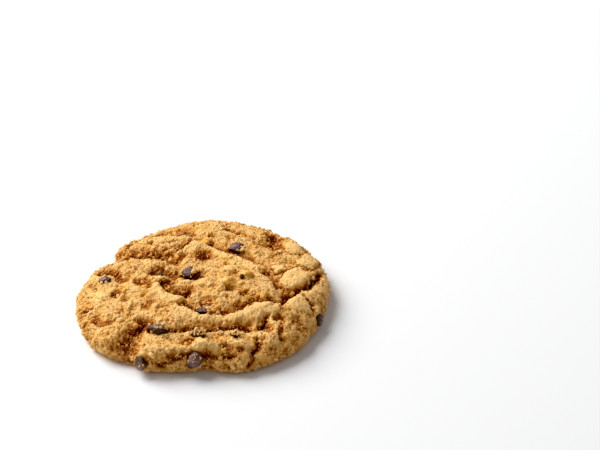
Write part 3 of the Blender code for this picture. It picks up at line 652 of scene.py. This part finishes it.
def grainGroup():
    # fine grain of flour and sugar: a colour factor and a height, from two sizes of noise
    group, given, out = newGroup(
        "fineGrain",
        [("Size", "NodeSocketFloat", 0.5), ("Strength", "NodeSocketFloat", 0.3)],
        [("Factor", "NodeSocketFloat"), ("Height", "NodeSocketFloat")],
    )
    place = addNode(group, "ShaderNodeTexCoord").outputs["Object"]
    scale = mathNode(group, "DIVIDE", 1000.0, given["Size"])
    coarse = noiseNode(group, place, scale, 3.0, 0.65)
    cells = addNode(group, "ShaderNodeTexVoronoi", {"Vector": place, "Scale": mathNode(group, "MULTIPLY", scale, 1.1)})
    group.links.new(stretched(group, coarse, 0.5, given["Strength"], False), out["Factor"])
    knobs = mathNode(group, "MULTIPLY", cells.outputs["Distance"], -0.35)
    group.links.new(mathNode(group, "ADD", coarse, knobs), out["Height"])
    return group


def attributeNode(tree, name):
    return addNode(tree, "ShaderNodeAttribute", attribute_name=name, attribute_type="GEOMETRY").outputs["Fac"]


def browningAndShadeGroup(grain):
    # the colour of baked dough: browner in patches, darker in cavities, pits, specks and at the feet of folds, which is
    # painted shade with some real brown, paler on tops as a painted highlight and in pale painted glints, and paler on
    # smooth crust
    group, given, out = newGroup(
        "browningAndShade",
        [(label, "NodeSocketFloat", 0.0) for label in ("Cavity", "Pore", "Dark", "Smooth", "Tone", "Gold")],
        [("Colour", "NodeSocketColor"), ("Height", "NodeSocketFloat")],
    )
    fine = addNode(group, "ShaderNodeGroup", node_tree=grain)
    setInputs(fine, {"Size": crustLook["grainSize"], "Strength": crustLook["grain"]})
    place = addNode(group, "ShaderNodeTexCoord").outputs["Object"]
    patches = noiseNode(group, place, crustLook["patchScale"], 2.0, 0.55)
    brown = stretched(group, patches, 0.5, crustLook["patches"], False)
    # dark specks of painted shade and pale specks of painted highlight
    specks = noiseNode(group, place, crustLook["speckScale"], 1.0, 0.5)
    speck = stretched(group, specks, crustLook["speckFrom"], crustLook["speckEdge"])
    glint = stretched(group, specks, crustLook["glintFrom"], -crustLook["speckEdge"])
    glint = mathNode(group, "MULTIPLY", glint, crustLook["glints"])
    pores = mathNode(group, "ADD", given["Pore"], mathNode(group, "MULTIPLY", speck, crustLook["speck"]))
    pores = mathNode(group, "ADD", pores, fine.outputs["Factor"], clamp=True)
    for label in ("Cavity", "Dark", "Smooth"):
        brown = mathNode(group, "ADD", brown, mathNode(group, "MULTIPLY", given[label], crustLook[label.lower()]))
    brown = mathNode(group, "ADD", brown, given["Tone"])
    brown = mathNode(group, "ADD", brown, crustLook["base"], clamp=True)
    baked = rampNode(group, brown, crustLook["browningAndShade"])
    baked = mixColours(group, pores, baked, (*crustLook["pore"], 1), "MULTIPLY")
    baked = mixColours(group, glint, baked, (*crustLook["glint"], 1))
    share = mathNode(group, "MULTIPLY", given["Gold"], crustLook["golden"])
    group.links.new(mixColours(group, share, baked, (*crustLook["gold"], 1)), out["Colour"])
    calm = mathNode(group, "SUBTRACT", 1.0, mathNode(group, "MULTIPLY", given["Smooth"], 0.6))
    group.links.new(mathNode(group, "MULTIPLY", fine.outputs["Height"], calm), out["Height"])
    return group


def newMaterial(name):
    material = bpy.data.materials.new(name)
    material.use_nodes = True
    tree = material.node_tree
    return material, tree, tree.nodes["Principled BSDF"]


grain = grainGroup()
browningAndShade = browningAndShadeGroup(grain)


def crustMaterial(name, attributes, bumpStrength):
    material, tree, shader = newMaterial(name)
    brown = addNode(tree, "ShaderNodeGroup", node_tree=browningAndShade)
    for label in attributes:
        tree.links.new(attributeNode(tree, label.lower()), brown.inputs[label])
    settings = {"Height": brown.outputs["Height"], "Strength": bumpStrength, "Distance": crustLook["bump"]}
    bump = addNode(tree, "ShaderNodeBump", settings)
    tree.links.new(brown.outputs["Colour"], shader.inputs["Base Color"])
    tree.links.new(bump.outputs["Normal"], shader.inputs["Normal"])
    setInputs(shader, {"Roughness": crustLook["roughness"], "Specular IOR Level": crustLook["specular"]})
    return material


bakedCrust = crustMaterial("bakedCrust", ("Cavity", "Pore", "Dark", "Smooth", "Gold"), 1.0)


# the dough

shadeLook = {  # painted shade, with some real brown, in a hollow: how far it lies below the crust averaged so many times, and how steep it is
    "averages": (2, 10, 60),
    "small": 0.24, "smallDepth": 0.4, "large": 0.38, "largeDepth": 0.9,
    "steep": 0.32, "steepFrom": 0.25,
    "smallPore": 3.0, "largePore": 0.5,
    "below": 0.35,  # how dark the closed bottom is
}


def makeDough():
    # the crust grid, closed below by rings of half as many points each, pulled in and raised
    count = cookie["gridCount"]
    du, dv = discGrid(count)
    points, _, look = crustPoints(rimWay * du, rimWay * dv)
    height = look["height"]
    near, wide, broad = (averaged(height, times) for times in shadeLook["averages"])
    rows, columns = np.gradient(near, 2 * rimWay / count)
    # cavity: painted shade with some real brown below the averaged crust and on steep slopes, and below zero on tops,
    # which paints them paler as a highlight
    cavity = shadeLook["small"] * (wide - near) / shadeLook["smallDepth"]
    cavity += shadeLook["large"] * (broad - wide) / shadeLook["largeDepth"]
    cavity += shadeLook["steep"] * np.clip(np.hypot(rows, columns) - shadeLook["steepFrom"], 0, 1.2)
    # pore: painted shade in the small pits
    pore = shadeLook["smallPore"] * (near - height) + shadeLook["largePore"] * (wide - near)
    a, b, c, d = gridCorners(count)
    flat = points.reshape(-1, 3)
    short = np.linalg.norm(flat[a] - flat[c], axis=1) < np.linalg.norm(flat[b] - flat[d], axis=1)
    first = np.where(short[:, None], np.stack([a, b, c], 1), np.stack([a, b, d], 1))
    second = np.where(short[:, None], np.stack([a, c, d], 1), np.stack([b, c, d], 1))
    triangles, verts = [first, second], [flat]
    line, row = np.arange(count), count + 1
    ring = np.concatenate([line, line * row + count, count * row + count - line, (count - line) * row])
    total, shrink, level = len(flat), 0.975, 0.0
    while len(ring) > 40 and len(ring) % 2 == 0:
        inner = total + np.arange(len(ring) // 2)
        everything = np.vstack(verts)
        verts.append(everything[ring[::2]] * (shrink, shrink, 0) + (0, 0, level))
        total += len(inner)
        here, beside, beyond, nextInner = ring[::2], ring[1::2], np.roll(ring, -2)[::2], np.roll(inner, -1)
        for trio in ((here, inner, beside), (beside, inner, nextInner), (beside, nextInner, beyond)):
            triangles.append(np.stack(trio, 1))
        ring, shrink, level = inner, 0.8, 1.5
    verts.append(np.array([[-cookie["centre"][0], -cookie["centre"][1], level]]))
    triangles.append(np.stack([ring, np.full(len(ring), total), np.roll(ring, -1)], 1))
    verts, triangles = np.vstack(verts), np.vstack(triangles)
    grids = {
        "cavity": np.clip(cavity, -1, 1.2),
        "pore": np.clip(pore, 0, 1),
        "dark": look["dark"],
        "smooth": look["smooth"],
        "gold": goldOf(rimWay * du, rimWay * dv) * (1 - look["dark"]),
    }
    values = {}
    for key, grid in grids.items():
        bottom = shadeLook["below"] if key == "dark" else 0.0
        values[key] = np.append(grid.ravel(), np.full(len(verts) - len(flat), bottom))
    piece = makePiece("doughCrust", verts, triangles, bakedCrust, values)
    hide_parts("dough")
    print("dough:", len(triangles), "triangles")


undersideLook = {
    "gridCount": 200,  # squares across
    "inset": 0.985, "border": 1.2,  # how far in from the rim it ends, how high its border turns up
    "level": 0.12, "lowest": 0.03, "uneven": 0.1, "unevenSize": 5.0,
    "hole": 0.5, "holeSize": 3.4, "holeShare": 0.3, "pin": 0.6, "pinSize": 1.5, "pinShare": 0.35,
    "roundChips": 0.5, "chipReach": 0.58,  # how far it stands back round the pieces of chocolate, and how far out
    "dark": 0.6, "darkRim": 0.15, "smooth": 0.3,
}


def makeUnderside():
    # the face that lay on the baking sheet: a disc just above the floor with small holes and shallow unevenness,
    # z = level + uneven * noise + hole * holes, its border turned up inside the dough
    look = undersideLook
    du, dv = discGrid(look["gridCount"])
    q, angle = np.hypot(du, dv), np.arctan2(dv, du)
    foot = smoothRound(rimWay * np.cos(angle), rimWay * np.sin(angle))
    x, y = look["inset"] * q * foot[..., 0], look["inset"] * q * foot[..., 1]
    pins = look["pin"] * pits(x, y, look["pinSize"], 311, look["pinShare"])
    holes = pits(x, y, look["holeSize"], 301, look["holeShare"]) + pins
    uneven = layeredNoise(x, y, look["unevenSize"], 321, 3)
    z = look["level"] + look["uneven"] * uneven + look["hole"] * holes
    x, y = x - cookie["centre"][0], y - cookie["centre"][1]
    for (chipX, chipY), width in underChips.values():
        z += look["roundChips"] * np.exp(-((np.hypot(x - chipX, y - chipY) / (look["chipReach"] * width)) ** 6))
    points = np.stack([x, y, np.where(q > 0.995, look["border"], np.maximum(z, look["lowest"]))], -1)
    a, b, c, d = gridCorners(look["gridCount"])
    triangles = np.vstack([np.stack([a, c, b], 1), np.stack([a, d, c], 1)])
    values = {
        # painted shade in the holes
        "cavity": 0.5 * holes - 0.3 * uneven,
        "pore": np.clip(0.7 * holes, 0, 1),
        "dark": look["dark"] + 0.25 * uneven + look["darkRim"] * np.clip((q - 0.7) / 0.3, 0, 1),
        "smooth": np.full_like(q, look["smooth"]),
        "gold": np.zeros_like(q),
    }
    values = {key: grid.ravel() for key, grid in values.items()}
    makePiece("dough_underside", points.reshape(-1, 3), triangles, bakedCrust, values)
    print("underside:", len(triangles), "triangles")


makeDough()
makeUnderside()

# lumps of dough that stand out of the crust

lumpLook = {"rings": 12, "sides": 20, "width": 0.8, "rise": 0.36, "lift": 0.1}
lumps = (  # place, length, how far it stands out, how golden, how brown
    ((15, -1.6), 3.4, 0.8, 0.9, 0.05), ((12.9, -6.6), 2.6, 0.8, 0.5, 0.12), ((20.2, -12.3), 3.4, 0.8, 0.7, 0.05),
    ((14.8, -9.1), 2.2, 0.7, 0.6, 0), ((-0.1, 20.8), 3.4, 0.7, 1, 0), ((2.2, 23), 2.2, 0.7, 0.2, 0.35),
    ((15.2, 8.3), 2.8, 0.8, 0.3, 0.3), ((9.4, 1.2), 3, 0.6, 0.2, -0.1), ((4.3, 10.3), 2, 0.7, 0.2, 0.25),
    ((2.7, -7.4), 3, 0.6, 0.1, -0.15), ((-7.2, -3.9), 2.8, 0.8, 0.9, -0.05), ((-0.1, -7.6), 2.4, 0.7, 0.5, 0),
    ((-19.2, -7.3), 2.8, 0.8, 0.8, 0.05), ((-25, -9.8), 2.4, 0.8, 0.9, 0), ((-11.5, 11.8), 2.4, 0.8, 0.5, 0.15),
    ((9, -5.2), 2.6, 0.8, 0.7, 0.05), ((9.5, -22), 2.4, 0.6, 0.4, 0.1), ((-15.6, -5.2), 2.2, 0.8, 0.5, -0.05),
    ((6.8, 6.2), 2, 0.8, 0.4, 0), ((19.8, 3), 2.4, 0.7, 0.3, 0.05), ((-29.5, 15.2), 2.2, 0.8, 0.1, 0.25),
    ((17.5, 13.4), 2.2, 0.8, 0.2, 0.1),
)


def makeLumps():
    # lumpy balls with a few flat cuts, set into the crust
    ball, triangles = ballGrid(lumpLook["rings"], lumpLook["sides"])
    verts, faces, values = [], [], {"gold": [], "dark": [], "cavity": [], "smooth": []}
    for number, (place, length, out, gold, brown) in enumerate(lumps):
        local = chipBody(ball, 60 + number, length, lumpLook["width"] * length, lumpLook["rise"] * length * out)
        middle, stand = chipStand(place, 47 * number, lumpLook["lift"])
        faces.append(triangles + sum(len(part) for part in verts))
        verts.append(middle + local @ stand.T)
        # a lump is darker towards its foot: painted shade where it meets the crust
        low = np.clip(-local[:, 2] / (0.3 * length), -1, 1)
        for key, value in (("gold", gold), ("dark", 0), ("cavity", brown + 0.2 * low - 0.1), ("smooth", 0)):
            values[key].append(np.zeros(len(local)) + value)
    values = {key: np.concatenate(value) for key, value in values.items()}
    makePiece("dough_lumps", np.vstack(verts), np.vstack(faces), bakedCrust, values)
    print("lumps:", len(lumps))


# the loose and half-buried crumbs

# how many, least and greatest width in millimetres, how deep they sit from 0 to 1, faces of each, the share of the
# crust's darkness, much of it painted shade, that they take, and the middle and spread of their tone
crumbs = {
    "coarse": {"count": 420, "least": 0.8, "most": 2.0, "sunk": 0.45, "faces": 48, "dark": 0.7, "tone": (-0.12, 0.07)},
    "fine": {"count": 2600, "least": 0.3, "most": 0.8, "sunk": 0.3, "faces": 20, "dark": 0.7, "tone": (-0.12, 0.07)},
    "grain": {"count": 12000, "least": 0.22, "most": 0.55, "sunk": 0.4, "faces": 8, "dark": 0.2, "tone": (-0.18, 0.05)},
}
crumbSeeds = {"coarse": 5, "fine": 8, "grain": 9}
crumbShape = {"push": 0.2, "mostPush": 1.6, "stretch": (0.65, 1.25)}  # how far from a ball a crumb may be


def crumbBall(faces):
    # a small convex ball of 48 faces, a cube cut in two each way and blown up round, or of 20, the even turns of
    # (0, 1, golden ratio), or of 8, one corner each way along the three axes
    if faces == 48:
        line = (-1.0, 0.0, 1.0)
        verts = np.array([(x, y, z) for x in line for y in line for z in line if max(abs(x), abs(y), abs(z)) == 1])
        verts = verts / np.linalg.norm(verts, axis=1, keepdims=True)
    elif faces == 20:
        corners = np.array([(0, a, b * (1 + 5**0.5) / 2) for a in (-1, 1) for b in (-1, 1)], float)
        verts = np.vstack([corners, corners[:, [2, 0, 1]], corners[:, [1, 2, 0]]])
        verts /= np.linalg.norm(verts[0])
    else:
        verts = np.vstack([np.eye(3), -np.eye(3)])
    shell = bmesh.new()
    for vert in verts:
        shell.verts.new(vert)
    bmesh.ops.convex_hull(shell, input=shell.verts)
    bmesh.ops.triangulate(shell, faces=shell.faces)
    bmesh.ops.recalc_face_normals(shell, faces=shell.faces)
    shell.verts.index_update()
    triangles = np.array([[vert.index for vert in face.verts] for face in shell.faces])
    verts = np.array([tuple(vert.co) for vert in shell.verts])
    shell.free()
    return verts, triangles


def randomTurns(draw, count):
    # rotation matrices from four normal numbers each, taken as a quaternion
    q = draw.normal(size=(count, 4))
    w, x, y, z = (q / np.linalg.norm(q, axis=1, keepdims=True)).T
    rows = [
        [1 - 2 * (y * y + z * z), 2 * (x * y - z * w), 2 * (x * z + y * w)],
        [2 * (x * y + z * w), 1 - 2 * (x * x + z * z), 2 * (y * z - x * w)],
        [2 * (x * z - y * w), 2 * (y * z + x * w), 1 - 2 * (x * x + y * y)],
    ]
    return np.moveaxis(np.array(rows), 2, 0)


def scattered(kind, middles, outward, widths, draw):
    # one deformed ball a crumb: its corners pushed in and out, stretched, turned, and set partly into the crust
    verts, triangles = crumbBall(kind["faces"])
    count = len(middles)
    most = crumbShape["mostPush"]
    push = 1 + crumbShape["push"] * draw.normal(size=(count, len(verts), 1)).clip(-most, most)
    stretch = draw.uniform(*crumbShape["stretch"], (count, 1, 3))
    bodies = verts * push * stretch * widths[:, None, None] / 2
    bodies = np.einsum("cvi,cji->cvj", bodies, randomTurns(draw, count))
    bodies += (middles + outward * (widths * (0.5 - kind["sunk"]))[:, None])[:, None]
    faces = triangles + len(verts) * np.arange(count)[:, None, None]
    return bodies.reshape(-1, 3), faces.reshape(-1, 3), len(verts)


crumbMaterial = crustMaterial("bakedCrumb", ("Dark", "Tone"), 0.3)


def makeCrumbs():
    # strewn evenly, then kept with a chance that grows where the crust is rough or dark and falls under the chips
    for name, kind in crumbs.items():
        draw = np.random.default_rng(crumbSeeds[name])
        tries = 4 * kind["count"]
        q, turn = rimWay * np.sqrt(draw.uniform(0, 1, tries)), draw.uniform(0, 2 * np.pi, tries)
        u, v = q * np.cos(turn), q * np.sin(turn)
        points, outward, look = crustPoints(u, v)
        under, _ = nearChips(u, v)
        if name == "grain":
            calm = 0.15 * look["dark"]
            likely = 0.4 + 0.5 * layeredNoise(u, v, 3.0, 181) - calm - 0.5 * look["smooth"] - under
            likely = np.clip(likely, 0, 1)
        else:
            likely = np.clip(0.35 * look["rough"] + 0.9 * look["dark"] - 0.3 - 1.2 * under, 0.02, 1)
        likely = likely * (points[:, 2] > 0.8)
        kept = np.flatnonzero(draw.uniform(0, 1, tries) < likely)[: kind["count"]]
        widths = kind["least"] + (kind["most"] - kind["least"]) * draw.uniform(0, 1, len(kept)) ** 2
        verts, triangles, each = scattered(kind, points[kept], outward[kept], widths, draw)
        values = {"dark": kind["dark"] * look["dark"][kept], "tone": draw.normal(*kind["tone"], len(kept))}
        values = {key: np.repeat(value, each) for key, value in values.items()}
        makePiece("crumbs_" + name, verts, triangles, crumbMaterial, values)
        print("crumbs:", name, len(kept), "of", len(triangles), "triangles")


makeCrumbs()

# the chocolate chips

chipLook = {
    "rings": 30, "sides": 60,
    "depth": 2.2,  # millimetres below its widest line
    "ripple": 0.16, "rough": 0.07,  # large and small dents
    "cuts": 5, "cutFrom": (0.62, 0.85), "cutAway": 0.8,  # flat cuts: how many, how far out, how much each takes off
    "dark": (0.03, 0.007, 0.004),
    "brown": (0.095, 0.03, 0.018),
    "bloomAndSheen": (0.25, 0.135, 0.11), "proud": 0.75,  # colour of bloom and painted sheen, and how much more of it shows on the chip's top, as painted sheen
    # pale specks of bloom and painted highlight on the chip's top, and how strongly they show
    "speck": (0.55, 0.42, 0.36), "specks": 0.7,
    "broadScale": 420.0, "speckScale": 1700.0,
    "broad": 1.3, "fine": 0.9, "less": 1.05,  # how much the two noises lighten it, less this
    "roughness": 0.42, "specular": 0.5,
    "bump": 0.9, "bumpDistance": 0.0005,  # strength, metres
    "rimCrumbs": 9, "rimWidth": (0.5, 1.3), "rimReach": (0.88, 1.04),  # crumbs round it: how many, width, how far out
    "inner": 39,  # a chip further from the middle of the cookie has none round it
    "seat": 0.15,  # the least height of a crumb above its widest line
}
chipBits = {  # small bits of chip in the crust: place and width
    "bit_01": ((13.2, -3.4), 1.9),
    "bit_02": ((-14.4, 1), 2.4),
    "bit_03": ((6.4, -28.4), 1.2),
}
chipCrumbs = {  # crumbs stuck on a chip: how many, middle and spread in half lengths, least and greatest width
    "chip_01": (4, (0.75, -0.55), 0.3, 0.7, 1.6),
    "chip_02": (6, (0.45, 0.1), 0.35, 0.7, 1.7),
    "chip_04": (3, (-0.2, -0.8), 0.3, 0.4, 0.8),
    "chip_05": (26, (0.15, -0.1), 0.45, 0.4, 1),
    "chip_06": (16, (0, -0.1), 0.5, 0.4, 0.9),
    "chip_07": (15, (-0.1, 0.4), 0.5, 0.3, 0.65),
    "chip_08": (6, (0.35, -0.5), 0.45, 0.3, 0.7),
    "chip_10": (5, (-0.9, 0.1), 0.3, 0.5, 0.9),
}


def chocolateMaterial():
    # dark chocolate, greyer with bloom in broad patches and a painted sheen on its top, with pale specks of bloom and
    # painted highlight there
    material, tree, shader = newMaterial("darkChocolate")
    place = addNode(tree, "ShaderNodeTexCoord").outputs["Object"]
    broad = noiseNode(tree, place, chipLook["broadScale"], 4.0, 0.6)
    speck = noiseNode(tree, place, chipLook["speckScale"], 3.0, 0.7)
    # lighter on the chip's top: painted sheen
    lit = mathNode(tree, "MULTIPLY", attributeNode(tree, "proud"), chipLook["proud"])
    lit = mathNode(tree, "ADD", lit, mathNode(tree, "MULTIPLY", broad, chipLook["broad"]))
    lit = mathNode(tree, "ADD", lit, mathNode(tree, "MULTIPLY", speck, chipLook["fine"]))
    lit = mathNode(tree, "SUBTRACT", lit, chipLook["less"], clamp=True)
    stops = ((0.0, chipLook["dark"]), (0.4, chipLook["brown"]), (0.95, chipLook["bloomAndSheen"]))
    # pale specks of painted highlight and bloom, shown on the chip's top
    shown = mathNode(tree, "MULTIPLY", attributeNode(tree, "proud"), chipLook["specks"])
    dots = mathNode(tree, "MULTIPLY", stretched(tree, speck, 0.6, 9.0), shown)
    colour = mixColours(tree, dots, rampNode(tree, lit, stops), (*chipLook["speck"], 1))
    tree.links.new(colour, shader.inputs["Base Color"])
    height = mathNode(tree, "ADD", broad, mathNode(tree, "MULTIPLY", speck, 0.6))
    settings = {"Height": height, "Strength": chipLook["bump"], "Distance": chipLook["bumpDistance"]}
    bump = addNode(tree, "ShaderNodeBump", settings)
    tree.links.new(bump.outputs["Normal"], shader.inputs["Normal"])
    setInputs(shader, {"Roughness": chipLook["roughness"], "Specular IOR Level": chipLook["specular"]})
    return material


chocolate = chocolateMaterial()


def ballGrid(rings, sides):
    # unit ball by height and turn: the points of its rings, its two poles and its triangles
    t = np.pi * np.arange(1, rings) / rings - np.pi / 2
    turn = 2 * np.pi * np.arange(sides) / sides
    x = np.cos(t)[:, None] * np.cos(turn)
    y = np.cos(t)[:, None] * np.sin(turn)
    z = np.repeat(np.sin(t)[:, None], sides, 1)
    verts = np.vstack([np.stack([x, y, z], -1).reshape(-1, 3), (0, 0, -1), (0, 0, 1)])
    k = np.arange(sides)
    n = (k + 1) % sides
    triangles = [np.stack([np.full(sides, len(verts) - 2), n, k], 1)]
    for low in np.arange(rings - 2) * sides:
        triangles += [np.stack([low + k, low + n, low + sides + n], 1)]
        triangles += [np.stack([low + k, low + sides + n, low + sides + k], 1)]
    last = (rings - 2) * sides
    triangles.append(np.stack([last + k, last + n, np.full(sides, len(verts) - 1)], 1))
    return verts, np.vstack(triangles)


def chipBody(ball, number, length, width, proud):
    # a drop: radius cos(t)^0.8, height sin(t), with dents and knobs, 1 + ripple * noise, and a few flat cuts
    reach = np.hypot(ball[:, 0], ball[:, 1])
    swell = np.where(reach > 0, np.maximum(reach, 1e-6) ** -0.2, 1)
    x, y, z = ball[:, 0] * swell, ball[:, 1] * swell, ball[:, 2]
    shift = 7.3 * number
    ripple = layeredNoise(x + shift, y + 1.7 * z, 0.9, 301) + 0.7 * layeredNoise(y - shift, z - x, 0.7, 311)
    rough = layeredNoise(3 * x - shift, 3 * y + 2 * z, 1.0, 321, 2)
    body = np.stack([x, y, z], 1) * (1 + chipLook["ripple"] * ripple + chipLook["rough"] * rough)[:, None]
    draw = np.random.default_rng(40 + number)
    for _ in range(chipLook["cuts"]):
        cut = draw.normal(size=3) * (1, 1, 0.6)
        cut /= np.linalg.norm(cut)
        body -= np.clip(body @ cut - draw.uniform(*chipLook["cutFrom"]), 0, None)[:, None] * cut * chipLook["cutAway"]
    body[:, 2] *= np.where(body[:, 2] > 0, proud, chipLook["depth"])
    return body * (length / 2, width / 2, 1)


def makeChips():
    # the chips, crumbs of dough seated on them and round them, and the bits of chocolate in the crust
    ball, triangles = ballGrid(chipLook["rings"], chipLook["sides"])
    granules, each = [], 0
    for number, (name, (place, length, width, turn, proud, lift)) in enumerate(chips.items()):
        local = chipBody(ball, number, length, width, proud)
        middle, stand = chipStand(place, turn, lift)
        # how high on the chip each point lies, which sets its painted sheen
        values = {"proud": np.clip(local[:, 2] / proud, 0, 1) ** 1.5}
        points = middle + local @ stand.T
        piece = makePiece("chocolate_" + name, points, triangles, chocolate, values)
        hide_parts(name)
        draw = np.random.default_rng(70 + number)
        count = chipLook["rimCrumbs"] if np.hypot(*place) < chipLook["inner"] else 0
        around = draw.uniform(0, 2 * np.pi, count)
        near = np.column_stack([np.cos(around), np.sin(around)]) * draw.uniform(*chipLook["rimReach"], (count, 1))
        widths = draw.uniform(*chipLook["rimWidth"], count)
        if name in chipCrumbs:
            count, centre, spread, least, most = chipCrumbs[name]
            stuck = np.array(centre) + spread * draw.normal(size=(count, 2))
            near = np.vstack([near, stuck / np.maximum(1, np.hypot(*stuck.T) / 0.85)[:, None]])
            widths = np.append(widths, draw.uniform(least, most, count))
        near = near * (length / 2, width / 2)
        nearest = [np.argmin(np.hypot(*(local[:, :2] - p).T) - 0.5 * local[:, 2]) for p in near]
        spots = np.maximum(local[np.array(nearest, int)], (-np.inf, -np.inf, chipLook["seat"]))
        upward = np.repeat(stand[None, :, 2], len(near), 0)
        body = scattered(crumbs["fine"], middle + spots @ stand.T, upward, widths, draw)
        granules.append((body[0], body[1] + each))
        each += len(body[0])
    for number, (name, (place, width)) in enumerate(chipBits.items()):
        local = chipBody(ball, 30 + number, width, 0.8 * width, 0.5 * width)
        middle, stand = chipStand(place, 40 * number, 0.3)
        # how high on the bit each point lies, which sets its painted sheen
        values = {"proud": np.clip(local[:, 2] / width, 0, 1)}
        makePiece("chocolate_" + name, middle + local @ stand.T, triangles, chocolate, values)
    verts = np.vstack([body[0] for body in granules])
    triangles = np.vstack([body[1] for body in granules])
    tone = np.repeat(np.random.default_rng(90).normal(-0.19, 0.06, len(verts) // 12), 12)
    values = {"tone": tone, "dark": np.zeros(len(verts))}
    makePiece("crumbs_onChips", verts, triangles, crumbMaterial, values)
    for node in bpy.data.objects:
        if node.name in underChips:
            node.material_slots[0].material = chocolate
    print("chips:", len(chips), "with", len(verts) // 12, "crumbs")


makeChips()
makeLumps()

# the floor, light and camera

light = {
    "place": (-0.86, 0.62, 0.95), "size": 1.1, "power": 32.5, "sky": 0.3,
    "floor": (0.865, 0.868, 0.874), "floorRoughness": 0.9,
    "black": 0.009,  # what counts as black, for the photograph's deep shadows
}
floorMaterial, _, floorShader = newMaterial("paleTable")
setInputs(floorShader, {"Base Color": (*light["floor"], 1), "Roughness": light["floorRoughness"]})
floorMesh = bpy.data.meshes.new("table")
floorMesh.from_pydata([(-3, -2, 0), (3, -2, 0), (3, 4, 0), (-3, 4, 0)], [], [(0, 1, 2, 3)])
floorMesh.materials.append(floorMaterial)
newObject("table", floorMesh)

keyLight = bpy.data.lights.new("keyLight", "AREA")
keyLight.size = light["size"]
keyLight.energy = light["power"]
key = newObject("keyLight", keyLight)
key.location = light["place"]
key.rotation_euler = (-Vector(light["place"])).to_track_quat("-Z", "Y").to_euler()
world = bpy.data.worlds.new("studio")
world.use_nodes = True
setInputs(world.node_tree.nodes["Background"], {"Color": (1, 1, 1, 1), "Strength": light["sky"]})
bpy.context.scene.world = world
toning = bpy.context.scene.view_settings
toning.view_transform = "Standard"
toning.use_curve_mapping = True
toning.curve_mapping.black_level = (light["black"],) * 3
toning.curve_mapping.update()

view = {"place": (32.3315, -632.9075, 419.5029), "pitch": 31.58, "lens": 135.9, "sensor": 36}
camera = bpy.data.cameras.new("camera")
camera.lens = view["lens"]
camera.sensor_width = view["sensor"]
camera.clip_start = 0.01
cameraObject = newObject("camera", camera)
cameraObject.location = mm * (Vector(view["place"]) - Vector((*cookie["centre"], 0)))
cameraObject.rotation_euler = (math.radians(90 - view["pitch"]), 0, 0)
bpy.context.scene.camera = cameraObject
